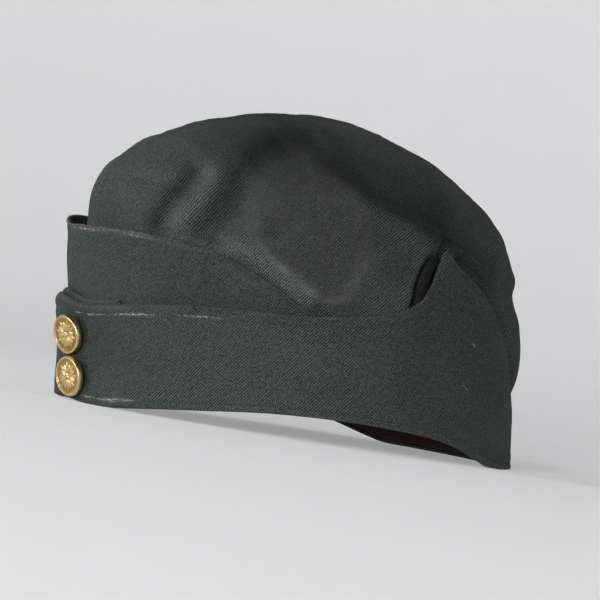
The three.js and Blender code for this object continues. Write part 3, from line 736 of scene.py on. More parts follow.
def twill_material(name, mark=False):
    """Dark green twill with ribs, heathered threads, broad unevenness, pale worn places, and
    painted light and shade.
    """
    cloth = bpy.context.scene.cap_cloth
    material, tree, shader = bare_material(name)
    place, u, v = cloth_places(tree)
    # ribs that wander a little, yarns that cross them, and unevenness of four sizes
    c, s = math.cos(cloth.rib_angle), math.sin(cloth.rib_angle)
    across = sums(tree, "MULTIPLY_ADD", u, s, sums(tree, "MULTIPLY", v, -c))
    along = sums(tree, "MULTIPLY_ADD", u, c, sums(tree, "MULTIPLY", v, s))
    wander = sums(tree, "MULTIPLY", speckle(tree, place, 7), 3.4)
    rib = waves(tree, across, cloth.rib_pitch * 1000, wander)
    yarn_pitch = 0.95
    yarn = waves(tree, along, yarn_pitch, sums(tree, "MULTIPLY", across, 3.6))
    fleck = uneven(tree, place, 0.85, 3, 0.75)
    clump = uneven(tree, place, 1.5)
    slub = uneven(tree, place, 3.2)
    broad = uneven(tree, place, 30, 2, 0.5)
    shares = (rib, 0.46), (yarn, 0.24), (fleck, 3.1), (clump, 0.8), (slub, 0.45), (broad, 0.4)
    amount = layered(tree, 0.41, *shares)
    colour = blended(tree, amount, cloth.dark, cloth.light)
    if mark:
        rubbed = attribute(tree, "rubbed")
        cloudy = patches(tree, place, 8, 4, 0.65, 5.0, -1.9)
        brown = sums(tree, "MULTIPLY", rubbed, sums(tree, "MULTIPLY_ADD", cloudy, 0.42, 0.06))
        colour = blended(tree, brown, colour, (0.033, 0.028, 0.027))
        spots = (
            # where, noise, share, colour: blotches, flecks and the grain of the rim
            (rubbed, (4.5, 4, 0.65, 4.2, -2.2), 0.42, (0.07, 0.072, 0.069)),
            (rubbed, (1.3, 2, 0.6, 9.0, -5.7), 0.6, (0.14, 0.135, 0.13)),
            (attribute(tree, "mark_rim"), (1.2, 3, 0.75, 4.2, -1.45), 0.62, (0.125, 0.115, 0.108)),
        )
        for where, grains, share, pale in spots:
            part = sums(tree, "MULTIPLY", patches(tree, place, *grains), where)
            colour = blended(tree, sums(tree, "MULTIPLY", part, share), colour, pale)
    patchy = patches(tree, place, 0.9, 3, 0.8, 3.4, -1.3)
    worn = sums(tree, "MULTIPLY", attribute(tree, "worn"), patchy, clamp=True)
    colour = blended(tree, worn, colour, cloth.worn)
    # the colour is scaled by painted light and shade, and on the crown also by the rubbed mark's
    # own darkening
    level = sums(tree, "ADD", attribute(tree, "tone"), 1.0)
    scaled = wire(tree, "ShaderNodeVectorMath", {0: colour, 3: level}, operation="SCALE")
    tree.links.new(scaled.outputs[0], shader.inputs["Base Color"])
    relief = sums(tree, "MULTIPLY_ADD", yarn, 0.4, rib)
    relief = sums(tree, "MULTIPLY_ADD", fleck, 2.2, relief)
    bumped(tree, shader, relief, 0.6, 0.00016)
    give(shader, {
        "Roughness": 0.86, "Specular IOR Level": 0.12, "Sheen Weight": 0.025,
        "Sheen Roughness": 0.45, "Sheen Tint": (0.82, 0.86, 0.84, 1),
    })
    return material


def plain_cloth(name, colour, dark, light, pitch=0.8):
    """Fine cloth with upright ribs, for the lining band and the slit ply. dark and light: shares
    of the colour in the weave's hollows and on its ribs."""
    material, tree, shader = bare_material(name)
    place, u, v = cloth_places(tree)
    weave, cross = waves(tree, u, pitch), waves(tree, v, pitch)
    fleck = uneven(tree, place, 0.8, 3, 0.7)
    amount = layered(tree, 0.4, (weave, 0.12), (cross, 0.1), (fleck, 1.2))
    woven = blended(tree, amount, [c * dark for c in colour], [c * light for c in colour])
    tree.links.new(woven, shader.inputs["Base Color"])
    relief = sums(tree, "ADD", sums(tree, "ADD", weave, cross), fleck)
    bumped(tree, shader, relief, 0.5, 0.0001)
    give(shader, {"Roughness": 0.75, "Specular IOR Level": 0.12, "Sheen Weight": 0.02})
    return material


def thread_material(name):
    """Sewing thread, dark where whole and pale where worn."""
    cloth = bpy.context.scene.cap_cloth
    material, tree, shader = bare_material(name)
    place = wire(tree, "ShaderNodeTexCoord").outputs["Object"]
    dark, light = [c * 0.6 for c in cloth.dark], [c * 0.35 for c in cloth.light]
    whole = blended(tree, noise(tree, place, 900.0), dark, light)
    pale = [min(c * 1.35, 1) for c in cloth.worn]
    colour = blended(tree, attribute(tree, "worn"), whole, pale)
    tree.links.new(colour, shader.inputs["Base Color"])
    give(shader, {"Roughness": 0.8, "Specular IOR Level": 0.25})
    return material


def brass_material(name):
    """Stamped brass, polished on top and dull in the recesses."""
    buttons = bpy.context.scene.cap_buttons
    material, tree, shader = bare_material(name)
    place = wire(tree, "ShaderNodeTexCoord").outputs["Object"]
    cloudy, fine = noise(tree, place, 420.0, 4.0), noise(tree, place, 2600.0, 3.0)
    dull = sums(tree, "MULTIPLY_ADD", cloudy, 0.9, attribute(tree, "deep"))
    dull = sums(tree, "SUBTRACT", dull, 0.36, clamp=True)
    colour = blended(tree, dull, buttons.brass, buttons.tarnish)
    tree.links.new(colour, shader.inputs["Base Color"])
    rough = sums(tree, "MULTIPLY_ADD", dull, 0.3, sums(tree, "MULTIPLY_ADD", fine, 0.14, 0.2))
    tree.links.new(rough, shader.inputs["Roughness"])
    bumped(tree, shader, fine, 0.25, 0.00008)
    give(shader, {"Metallic": 1.0})
    return material


def material(name, make):
    """The material of that name, made once."""
    return bpy.data.materials.get(name) or make(name)


def crown_grid(cap, side):
    """Outer face of one crown panel with its creases, seam and small unevenness, its normals,
    and its places on the cloth."""
    start = 0 if side > 0 else -math.pi
    flat = np.linspace(0, 1, CROWN_STATIONS)
    eased = 0.6 * flat + 0.4 * (1 - np.cos(math.pi * flat)) / 2
    turn = (start + math.pi * eased)[:, None]
    t = np.linspace(0, 1, CROWN_ROWS)
    rise = (0.62 * t + 0.38 * np.sin(t * math.pi / 2))[None]
    points = cap.crown(turn, rise, side)
    # the normals beside the seams would point astray, so they take their neighbours'
    normal = grid_normals(points) * side
    normal *= np.sign((normal * (points - [0, 0, 40])).sum(-1, keepdims=True).mean())
    normal[:, -2:] = normal[:, -3:-2]
    normal[:2], normal[-2:] = normal[2:3], normal[-3:-2]
    # the cloth's threads run as on the panel without its creases
    flat = cap.crown(turn, rise, side, creased=False)
    half = rise.shape[1] // 3
    across = run_lengths(flat, 0)[:, half]
    middle = across[np.abs(np.abs(turn[:, 0]) - math.pi / 2).argmin()]
    extra = (across - middle) - side * flat[:, half, 1]
    u = side * flat[..., 1] + extra[:, None] + math.pi * CROWN_RADIUS * side
    up = run_lengths(flat * [1, 0, 1], 1)
    x, y, z = np.abs(points[..., 0]), points[..., 1], points[..., 2]
    # soft unevenness of two sizes, then the crest's seam with a puckered roll beside it
    free = smooth((z - cap.cover(turn)) / 10)
    along_pitch, up_pitch = 5.2, 4.6
    along_roll = np.sin(y * 2 * math.pi / along_pitch)
    pucker = 1 + 0.35 * along_roll * np.sin(z * 2 * math.pi / up_pitch)
    push = ripples(u, up, 11 + side, 34, 0.8) * 0.55 * free
    push += ripples(u, up, 23 + side, 13, 0.8) * 0.12 * free
    push += 0.35 * bell(x - 4.2, 2.2) * pucker * free - 0.9 * bell(x, 1.3)
    points = points + normal * push[..., None]
    points[..., 0] = side * np.maximum(side * points[..., 0], SEAM_HALF)
    points[[0, -1], :, 0] = side * SEAM_HALF
    points[:, -1, 0] = side * SEAM_HALF
    return points, normal, u, up


def crown_painted_light(cap, points, side):
    """Painted light and shade on the crown's cloth: how much paler than its own colour each place
    is drawn.
    """
    total = np.zeros(points.shape[:2])
    for tone in CROWN_PAINTED_LIGHT:
        path = np.array(tone.path) * [cap.length, cap.crest_height]
        distance, _, share = to_path(path, points[..., 1] + cap.length / 2, points[..., 2])
        fade = smooth(np.minimum(share, 1 - share) * 5 + 0.35)
        total += tone.amount * bell(distance, tone.reach) * fade
    return total * (1 if side > 0 else 0.6)


def mark_amounts(cap, points, side):
    """Amounts of the rubbed mark and of its rim."""
    if side < 0:
        none = np.zeros(points.shape[:2])
        return none, none
    y, z = points[..., 1] + cap.length / 2, points[..., 2]
    outline = np.array(MARK_OUTLINE) * [cap.length, cap.crest_height]
    wobble = ripples(y, z, 41, 14) * 0.7
    distance, outside, share = to_path(outline, y, z, closed=True)
    depth = np.where(outside > 0, -distance, distance) + wobble
    inside = smooth((depth + 0.6) / 1.6)
    # the rim is strongest along the mark's foot and front, and broad in one stretch
    strength = 0.2 + 0.95 * bell(share - 0.57, 0.14)
    strength = strength + 0.4 * bell(share - 0.7, 0.08) + 0.25 * bell(share - 0.03, 0.07)
    fine = bell(depth - 1.3, 1.4) * strength * (0.7 + 0.3 * ripples(y, z, 43, 9))
    wide = bell(depth - 3.5, 3.5) * bell(share - 0.38, 0.16) * 0.5
    return inside * (0.75 + 0.25 * smooth((depth - 4) / 4)), np.clip(fine + wide, 0, 1)


class CAP_OT_crown(bpy.types.Operator):
    """Builds the two side panels of the crown, with their creases and the rubbed mark"""

    bl_idname = "cap.crown"
    bl_label = "Crown"

    def execute(self, context):
        cap = form()
        cloth = material("crown_cloth", lambda name: twill_material(name, mark=True))
        for side, name in SIDES:
            outer, normal, u, up = crown_grid(cap, side)
            rows = np.linspace(0, outer.shape[1] - 1, CROWN_INNER_ROWS)
            rows = np.unique(rows.round().astype(int))
            inner = (outer - normal * cap.crown_wall)[:, rows]
            inner[..., 0] = side * np.maximum(side * inner[..., 0], SEAM_HALF)
            inner[[0, -1], :, 0] = side * SEAM_HALF
            inner[:, -1] = outer[:, -1] - [0, 0, cap.crown_wall]
            loops = np.concatenate([outer, inner[:, ::-1]], 1)
            map_u = np.concatenate([u, u[:, rows][:, ::-1]], 1)
            map_v = np.concatenate([up, up[:, rows][:, ::-1] + 3], 1)
            uv = np.stack([map_u, map_v], -1)
            uv = np.concatenate([uv, uv[:, :1]], 1)
            rubbed, rim = mark_amounts(cap, outer, side)
            handled = np.clip(0.3 + 0.5 * ripples(u, up, 71, 30), 0, 1)
            shown = {
                # painted light and shade, and the rubbed mark's own colour a little darker
                "tone": crown_painted_light(cap, outer, side) - 0.09 * rubbed,
                "rubbed": rubbed,
                "mark_rim": rim,
                "worn": bell(np.abs(outer[..., 0]) - 1.6, 1.4) * handled * 0.28,
            }
            hidden = np.zeros(inner.shape[:2])
            marks = {key: np.concatenate([value, hidden], 1) for key, value in shown.items()}
            piece = shell(f"crown_panel_{name}", loops, uv, marks=marks)
            finish(piece, cloth, "crown_twill", f"crown_{name}")
        return {"FINISHED"}


def wall_section(wall, foot, top, hem_depth, hem, count, plain_foot=False):
    """Section loops of a turned-up wall: depths behind its outer face and heights, from the
    hem's tip down, up the outer face, over the rounded edge and down the inner face."""
    foot, top, hem_depth = foot[:, None], top[:, None], hem_depth[:, None]
    low, round_top = 0.9, wall / 2  # radii of the foot's outer corner and of the top edge
    at_foot, at_top, inside, under_hem = 6, 9, 14, 4  # places across these parts
    depths, heights = [], []

    def put(depth, height):
        depth, height, _ = np.broadcast_arrays(depth, height, foot)
        depths.append(depth)
        heights.append(height)

    # the hem's tip, the foot and its outer corner
    lip = np.array([0.5, 0.15]) if plain_foot else hem * np.array([0.75, 0.3])
    put(hem_depth, foot + lip)
    put(low + (hem_depth - 0.3 - low) * np.linspace(1, 0, at_foot), foot)
    angle = np.linspace(math.pi / 2, 0, at_foot)[1:]
    put(low - low * np.cos(angle), foot + low - low * np.sin(angle))
    # the outer face, the top edge and the inner face, with the hem under it
    t = np.linspace(0, 1, count + 2)[1:-1]
    share = 0.35 * t + 0.65 * (1 - np.cos(math.pi * t)) / 2
    put(0.0, foot + low + (top - round_top - foot - low) * share)
    angle = np.linspace(math.pi, 0, at_top)
    put(round_top + round_top * np.cos(angle), top - round_top + round_top * np.sin(angle))
    base = 0.8 if plain_foot else hem
    share = np.linspace(1, 0, inside)[1:]
    put(wall, foot + base + (top - round_top - foot - base) * share)
    if not plain_foot:
        across = np.linspace(0, 1, under_hem)[1:]
        put(wall + (hem_depth - wall) * across, foot + hem - hem * 0.1 * across)
    depth, height = np.concatenate(depths, 1), np.concatenate(heights, 1)
    even = depth.shape[1] // 2 * 2
    return depth[:, :even], height[:, :even]


def wall_piece(name, cap, turn, section, face, inset, push, marks, taper, u0=0.0, seam=None):
    """A turned-up wall from its section. push moves its outer face out, taper thins its ends."""
    depth, height = section
    middle = face / 2
    outer = smooth((middle - depth) / middle)
    depth = middle + (depth - middle) * np.where(depth <= face + 1e-6, taper[:, None], 1)
    points = cap.layer(turn[:, None], height, inset + depth - push * outer)
    # the threads run along the layer as at this height
    measured = 30.0
    rim = cap.layer(turn, np.full_like(turn, measured), np.zeros_like(turn))
    along = run_lengths(rim[:, None], 0)[:, 0] + u0
    up = run_lengths(points, 1)
    if seam is not None:
        station, side = seam
        points[station, :, 0] = side * SEAM_HALF
        x = side * points[..., 0]
        at_rear = np.abs(turn[:, None]) > 3
        points[..., 0] = side * np.where(at_rear, np.maximum(x, SEAM_HALF), x)
    start = int(np.abs(depth[0] - depth[0].min()).argmin())
    map_v = up - up[:, start:start + 1]
    uv = np.stack([np.broadcast_to(along[:, None], map_v.shape), map_v], -1)
    uv = np.concatenate([uv, uv[:, -1:] + [0, 2]], 1)
    shown = {key: np.where(outer > 0.4, value, 0) for key, value in marks.items()}
    return shell(name, points, uv, marks=shown)


def puckers(along, seed, period=4.4):
    """Small puckers along a row of stitches."""
    wander = ripples(along, along * 0, seed, 40) * 5
    amount = 0.6 + 0.4 * ripples(along, along * 0, seed + 1, 17)
    return np.sin((along + wander) * 2 * math.pi / period) * amount


def sewn_edge(gap, along, seed, row=2.2):
    """Relief beside a stitched edge: a roll, the stitches' groove and a low swell."""
    wave = puckers(along, seed)
    roll = bell(gap - row * 0.45, row * 0.4) * (0.12 + 0.07 * wave)
    groove = bell(gap - row, 0.75) * (0.26 + 0.06 * wave)
    return roll - groove + bell(gap - row - 2.2, 1.8) * 0.1 * (1 + wave)


def edge_gap(turn, edge, height):
    """Distance of each place from a sloping top edge, square to it."""
    slope = np.gradient(edge, turn) / CURTAIN_RADIUS
    return (edge[:, None] - height) / np.sqrt(1 + slope[:, None] ** 2)


def rubbed_row(degrees, wear):
    """How worn the thread of a stitch row is along it."""
    along = degrees * 1.5
    patchy = np.clip(0.62 + 0.8 * ripples(along, along * 0, 83, 5), 0, 1)
    rubbed = sum(amount * bell(degrees - place, reach) for place, reach, _, amount in wear)
    return np.clip(rubbed * patchy * 1.3, 0, 1)


def curtain_marks(turn, edge, foot, height, side):
    """Worn places of a curtain: along its edges, and where the stitch rows are rubbed through."""
    gap = edge_gap(turn, edge, height)
    degrees = np.degrees(np.abs(turn))[:, None]
    along = (turn * CURTAIN_RADIUS)[:, None]
    patchy = np.clip(0.35 + 0.75 * ripples(along, along * 0, 51 + side, 26), 0, 1)
    up = height - foot[:, None]
    worn = (0.2 * bell(gap, 0.7) + 0.1 * bell(up, 0.8)) * patchy
    if side > 0:
        rows = ((CURTAIN_WEAR, 0.5, gap - ROW), (HEM_WEAR, 0.6, up - HEM_ROW))
        for wear, share, off in rows:
            for place, reach, wide, amount in wear:
                worn = worn + share * amount * bell(degrees - place, reach) * bell(off, wide + 0.1)
        worn = worn + 0.16 * bell(gap - 1.4, 1.2) * smooth((34 - degrees) / 8)
    return np.clip(worn, 0, 1)


def curtain_painted_light(turn, height):
    """Painted light and shade on the left curtain's cloth: how much paler than its own colour each
    place is drawn.
    """
    total = 0 * height
    degrees = np.degrees(turn)[:, None]
    for place, up, wide, tall, amount in CURTAIN_PAINTED_LIGHT:
        total = total + amount * bell(degrees - place, wide) * bell(height - up, tall)
    return total


def curtain_lines(cap, side):
    """Stations of one curtain, closer together at its rise and ends, its depth behind the outer
    layer, its top edge and the depth of its hem."""
    free_end = cap.lap_left if side > 0 else cap.lap_right
    start, end = (free_end, math.pi) if side > 0 else (-math.pi, free_end)
    close = (
        (side * math.radians(102), 0.12, 2.6), (free_end, 0.02, 5), (side * math.pi, 0.03, 2),
    )
    turn = spread(start, end, CURTAIN_STATIONS, close)

    def past(before):
        return 0 * turn if side > 0 else smooth((turn - cap.lap_left + before) / cap.lap_step)

    inset = cap.under * past(cap.lap_dive) + 1.1 * bell(np.abs(turn) - math.radians(105), 0.09)
    edge = cap.curtain_edge(turn) + cap.lap_rise * past(cap.lap_step)
    hem_depth = cap.crown_inset(turn) + cap.crown_wall - inset
    if side > 0:
        hem_depth = np.where(turn < cap.lap_right + cap.lap_margin, cap.curtain_wall, hem_depth)
    return turn, inset, edge, hem_depth


def end_taper(turn, *free_ends):
    """Thins a wall near its free ends, so that they are round."""
    near = np.full_like(turn, 9.0)
    radius = 1.2
    for place in free_ends:
        near = np.minimum(near, np.abs(turn - place) * CURTAIN_RADIUS / radius)
    near = np.clip(near, 0, 1)
    return np.maximum(np.sqrt(1 - (1 - near) ** 2), 0.12)


def curtain_push(cap, turn, edge, foot, height, side):
    """Relief of a curtain's outer face."""
    gap = edge_gap(turn, edge, height)
    along = (turn * CURTAIN_RADIUS)[:, None]
    up = height - foot[:, None]
    # soft unevenness of two sizes, away from the edges
    body = smooth(gap / 5) * smooth(up / 5)
    push = ripples(along, height, 61 + side, 38, 1.2) * 0.5 * body
    push = push + ripples(along, height, 67 + side, 12, 1.2) * 0.1 * body
    away = np.abs(turn[:, None])
    pressed = smooth((math.radians(100) - away) / 0.06)
    push = push + sewn_edge(gap, along, 5 + side, ROW) * pressed
    push = push + sewn_edge(up, along, 9 + side, HEM_ROW)
    # behind the slit the edge is bent in
    behind_slit = smooth((away - math.radians(LAST_TOP_STITCH)) / 0.05)
    push = push - 0.75 * smooth(1 - gap / 6) * behind_slit
    # the groove of the rear seam, and the roll beside it
    rear = math.pi * CURTAIN_RADIUS - np.abs(along)
    push = push - 0.8 * bell(rear, 1.6) + 0.3 * bell(rear - 4.5, 2.4)
    # the flaps are drawn in where they lap at the nose, and pressed in under each button
    push = push - 1.05 * bell(height - 20, 11) * bell(np.degrees(turn)[:, None] + 14, 15)
    if side > 0:
        for turned, place in zip(cap.button_turns, cap.button_places):
            off = np.hypot((turn[:, None] - turned) * NOSE_RADIUS, height - place)
            push = push - 0.5 * bell(off, 5) + 0.15 * bell(off - 11, 3)
    return push


class CAP_OT_curtain(bpy.types.Operator):
    """Builds the two flaps of the turned-up curtain, with their hems, laps and rise"""

    bl_idname = "cap.curtain"
    bl_label = "Curtain"

    def execute(self, context):
        cap = form()
        cloth = material("curtain_cloth", twill_material)
        for side, name in SIDES:
            turn, inset, edge, hem_depth = curtain_lines(cap, side)
            foot, wall = cap.rim(turn), cap.curtain_wall
            section = wall_section(wall, foot, edge, hem_depth, cap.hem, CURTAIN_ROWS)
            height = section[1]
            push = curtain_push(cap, turn, edge, foot, height, side)
            taper = end_taper(turn, cap.lap_left if side > 0 else cap.lap_right)
            marks = {
                "worn": curtain_marks(turn, edge, foot, height, side),
                # painted light and shade on the left curtain
                "tone": curtain_painted_light(turn, height) if side > 0 else 0 * height,
            }
            piece = wall_piece(
                f"curtain_flap_{name}", cap, turn, section, wall, inset[:, None], push, marks,
                taper, seam=(-1, 1) if side > 0 else (0, -1),
            )
            finish(piece, cloth, "curtain_twill", f"curtain_{name}")
        return {"FINISHED"}


class CAP_OT_peak(bpy.types.Operator):
    """Builds the upturned tier round the nose, with its frayed edge"""

    bl_idname = "cap.peak"
    bl_label = "Peak"

    def execute(self, context):
        cap = form()
        turn = spread(-cap.peak_end, cap.peak_end, PEAK_STATIONS)
        foot = cap.rim(turn) + cap.hem + cap.layer_gap
        edge = cap.peak_edge(turn)
        wall = cap.peak_wall
        depths = np.full_like(turn, wall)
        section = wall_section(wall, foot, edge, depths, cap.hem, PEAK_ROWS, plain_foot=True)
        height = section[1]
        free, inset = cap.peak_flared(turn[:, None], height)
        gap = edge_gap(turn, edge, height)
        along = (turn * PEAK_RADIUS)[:, None]
        swell = ripples(along, height, 77, 30, 1.1) * 0.4 * smooth(gap / 6)
        push = (sewn_edge(gap, along, 17, PEAK_ROW) + swell) * smooth(free / 6)
        degrees = np.degrees(turn)[:, None]
        patchy = np.clip(0.5 + 0.8 * ripples(along, along * 0, 57, 20), 0, 1)
        front = 0.12 + 0.88 * bell(degrees - 16, 26)
        worn = bell(gap + 0.3, 1.0) * patchy * front * 0.6
        worn = worn + 0.14 * bell(gap - 1, 1.6) * bell(degrees - 26, 24)
        for place, reach, wide, amount in PEAK_WEAR:
            worn = worn + 0.45 * amount * bell(degrees - place, reach) * bell(gap - PEAK_ROW, wide)
        # the second value is painted shade on the peak, darkest 42 degrees round from the nose
        marks = {"worn": np.clip(worn, 0, 1), "tone": -0.14 * bell(degrees - 42, 22) + 0 * worn}
        taper = end_taper(turn, turn[0], turn[-1])
        piece = wall_piece(
            "peak_tier", cap, turn, section, wall, inset, push, marks, taper, u0=200.0
        )
        finish(piece, material("peak_cloth", twill_material), "peak_twill", "peak")
        return {"FINISHED"}


class CAP_OT_slit_plies(bpy.types.Operator):
    """Builds the inner ply that shows in the slit at each side's rise"""

    bl_idname = "cap.slit_plies"
    bl_label = "Slit plies"

    def execute(self, context):
        cap = form()
        colour = context.scene.cap_cloth.ply
        # the ply's cloth, its colour darkened as painted shade in the slit
        cloth = material("slit_cloth", lambda name: plain_cloth(name, colour, 0.12, 0.6, 0.75))
        half = cap.ply_wall / 2
        rows, flat_places, round_places = 60, 14, 9
        ups = np.linspace(0, 1, rows)
        low, high = cap.curtain_front - 1, cap.curtain_tip - 2
        height = (low + (high - cap.curtain_front + 1) * ups)[:, None]
        start = follow(PLY_EDGE, ups)[:, None]
        angle = np.linspace(-math.pi / 2, math.pi / 2, round_places)
        front = np.stack([-np.cos(angle) * half, np.sin(angle) * half], 1)
        flat = np.linspace(0.4, 8.5, flat_places)
        outer = np.stack([flat, np.full_like(flat, half)], 1)
        inner = np.stack([flat[::-1], np.full_like(flat, -half)], 1)
        across, thick = np.concatenate([front[1:], outer, inner]).T
        # the ply's edge rolls out in the open part of the slit, and dips behind it
        open_part = smooth((ups - 0.3) / 0.25)[:, None] * smooth((1 - ups) / 0.12)[:, None]
        roll = 1.25 * bell(across - 0.9, 1.7)[None] * open_part
        dip = 2.3 * smooth((across - 2.2) / 3)[None] * open_part
        depth = cap.under + half - thick[None] - roll + dip
        across = across[None] * (0.6 + 0.4 * np.sin(ups * math.pi))[:, None]
        for side, name in SIDES:
            turn = np.radians(start) * side + side * across / CROWN_RADIUS
            points = cap.layer(turn, height, depth)
            around = run_lengths(points, 1)
            uv = np.stack([around, np.broadcast_to(height, around.shape)], -1)
            uv = np.concatenate([uv, uv[:, -1:] + [1, 0]], 1)
            piece = shell(f"slit_edge_{name}", points, uv)
            finish(piece, cloth, "ply_cloth", f"slit_ply_{name}")
        return {"FINISHED"}


class CAP_OT_lining(bpy.types.Operator):
    """Builds the band inside the rim"""

    bl_idname = "cap.lining"
    bl_label = "Lining band"

    def execute(self, context):
        cap = form()
        colour = context.scene.cap_cloth.lining
        cloth = material("lining_cloth", lambda name: plain_cloth(name, colour, 0.5, 1.9))
        stations, rows = 320, 22
        turn = np.linspace(-math.pi, math.pi, stations + 1)[:-1]
        up = np.linspace(0, cap.lining_depth / cap.crest_height, rows)
        face = cap.crown(turn[:, None], up[None], 1)
        out = cap.plan(turn, 0)[2]
        away = np.stack([out[0], out[1], 0 * turn], -1)[:, None]
        along = turn * CROWN_RADIUS
        ease = np.sin(np.linspace(0, 1, rows) * math.pi)[None]
        bulge = (0.5 + 0.5 * ripples(along[:, None], face[..., 2], 91, 16)) * 0.7 * ease
        back = face - away * (cap.crown_wall + cap.layer_gap)
        front = back - away * (1.0 + bulge)[..., None]
        front[:, -1, 2] -= 0.4
        loops = np.concatenate([back, front[:, ::-1]], 1)
        length = run_lengths(loops, 1)
        length = np.vstack([length, length[:1]])
        wide = np.concatenate([along, [math.pi * CROWN_RADIUS]])
        uv = np.stack([np.broadcast_to(wide[:, None], length.shape), length], -1)
        uv = np.concatenate([uv, uv[:, -1:] + [0, 1]], 1)
        piece = shell("lining_ring", loops, uv, ring=True)
        finish(piece, cloth, "lining", "lining_band")
        return {"FINISHED"}


def button_face(thickness, petals):
    """Heights of a stamped button's face, and how deep each place lies, over rings and spokes."""
    # heights in millimetres; places, and the sizes of the relief's parts, in shares of the radius
    rings, outer_rings, spokes = 84, 34, 192
    share = [np.linspace(0, 0.82, rings)[1:], np.linspace(0.82, 1, outer_rings)[1:]]
    share = np.concatenate(share)[:, None]
    angle = np.linspace(0, 2 * math.pi, spokes, endpoint=False)[None]
    level = thickness - 0.5  # height of the sunk field's edge
    field = level + 0.34 * (1 - (share / 0.84) ** 2)
    rim = 0.46 * smooth((share - 0.845) / 0.03)
    crown_of_rim = 0.08 * bell(share - 0.91, 0.035)
    round_off = np.clip((share - 0.94) / 0.06, 0, 1)
    edge = -thickness * 0.42 * (1 - np.sqrt(np.clip(1 - round_off**2, 0, 1)))
    height = np.where(share < 0.84, field, level) + rim + crown_of_rim + edge

    def leaves(count, inner, outer, width, tall, turn=0.0):
        """A ring of leaves, each with a sunk vein."""
        span = 2 * math.pi / count
        off = (angle + turn + span / 2) % span - span / 2
        t = np.clip((share - inner) / (outer - inner), 0, 1)
        half = width * np.sin(t * math.pi) ** 0.7 + 1e-4
        across = np.abs(off * share) / half
        body = np.sqrt(np.clip(1 - across**2, 0, 1)) * (t > 0) * (t < 1)
        vein = 0.35 * bell(off * share, 0.014) * body
        return tall * body * (0.75 + 0.25 * np.sin(t * math.pi)) - tall * vein

    petal = leaves(petals, 0.16, 0.64, 0.135, 0.34)
    between = leaves(petals, 0.34, 0.74, 0.08, 0.24, math.pi / petals)
    boss = 0.36 * np.sqrt(np.clip(1 - (share / 0.16) ** 2, 0, 1))
    boss = boss + 0.07 * (share < 0.14) * np.cos(angle * 6) * share / 0.14
    beads, bead_ring, bead_radius, bead_height = 44, 0.79, 0.023, 0.13
    span = 2 * math.pi / beads
    off = ((angle + span / 2) % span - span / 2) * bead_ring
    near = (off**2 + (share - bead_ring) ** 2) / bead_radius**2
    bead = bead_height * np.sqrt(np.clip(1 - near, 0, 1))
    relief = np.maximum(np.maximum(np.maximum(petal, between), boss), bead)
    deep = np.where(share < 0.845, 1 - np.clip(relief / 0.24, 0, 1), 0) + 0 * angle
    return share, angle, height + relief, deep


class CAP_OT_buttons(bpy.types.Operator):
    """Builds the two stamped brass buttons and seats them on the left curtain"""

    bl_idname = "cap.buttons"
    bl_label = "Buttons"

    def execute(self, context):
        cap = form()
        sizes = context.scene.cap_buttons
        radius, thickness = sizes.diameter * 500, sizes.thickness * 1000
        share, angle, height, deep = button_face(thickness, sizes.petals)

        def ring(out, level):
            x, y = out * radius * np.cos(angle), out * radius * np.sin(angle)
            return np.stack([x, y, 0 * angle + level + cap.shank], -1)

        # the back, from the rim in to the shank: share of the radius, height over the back
        back = (
            (1.0, thickness * 0.3), (0.97, thickness * 0.1), (0.88, 0), (0.4, 0.05), (0.25, 0),
            (0.24, -cap.shank),
        )
        grid = np.concatenate([ring(share, height)] + [ring(*row) for row in back], 0)
        count, spokes = grid.shape[:2]
        deepness = np.concatenate([deep.ravel(), np.zeros(len(back) * spokes), [0.5, 0]])
        k = np.arange(spokes)
        nextk = (k + 1) % spokes
        start = np.arange(count - 1)[:, None] * spokes
        after = start + spokes
        quads = np.stack([start + k, after + k, after + nextk, start + nextk], -1)
        top, bottom, last = count * spokes, count * spokes + 1, (count - 1) * spokes
        faces = quads.reshape(-1, 4).tolist()
        faces += [[top, a, b] for a, b in zip(k, nextk)]
        faces += [[bottom, last + b, last + a] for a, b in zip(k, nextk)]
        middle = np.array([[0, 0, height[0].mean() + cap.shank + 0.01], [0, 0, 0]])
        local = np.concatenate([grid.reshape(-1, 3), middle])
        brass = material("stamped_brass", brass_material)
        hung = (
            # name, degrees that the button droops, turns back and is spun round
            ("upper", 9, 7, 11),
            ("lower", 3.5, 3, -17),
        )
        for pose, turn, z in zip(hung, cap.button_turns, cap.button_places):
            name, droop, swing, spin = pose
            out = cap.plan(turn, 0)[2]
            slope = (cap.lean(turn, cap.curtain_front) - cap.lean(turn, 0)) / cap.curtain_front
            facing = Vector((out[0], out[1], -float(slope))).normalized()
            seat = Vector(cap.layer(turn, z, 0)) + facing * cap.button_seat
            looks = Matrix.Rotation(math.radians(swing), 3, "Z") @ facing
            across = Vector((0, 0, -1)).cross(looks) * -1
            looks = Matrix.Rotation(math.radians(droop), 3, across) @ looks
            turned = looks.to_track_quat("Z", "Y").to_matrix()
            turned = turned @ Matrix.Rotation(math.radians(spin), 3, "Z")
            verts = local @ np.array(turned).T + np.array(seat)
            piece = build(f"brass_button_{name}", verts, faces, marks={"deep": deepness})
            finish(piece, brass, "brass", f"button_{name}")
        return {"FINISHED"}


def node_group(name, lengths, cover):
    """A node group with a guide, lengths, a seed and a material as inputs, and their sockets."""
    tree = bpy.data.node_groups.new(name, "GeometryNodeTree")
    face = tree.interface
    face.new_socket("Geometry", in_out="INPUT", socket_type="NodeSocketGeometry")
    for label, value in lengths:
        face.new_socket(label, in_out="INPUT", socket_type="NodeSocketFloat").default_value = value
    face.new_socket("Seed", in_out="INPUT", socket_type="NodeSocketInt")
    face.new_socket(cover, in_out="INPUT", socket_type="NodeSocketMaterial")
    face.new_socket("Geometry", in_out="OUTPUT", socket_type="NodeSocketGeometry")
    return tree, tree.nodes.new("NodeGroupInput").outputs


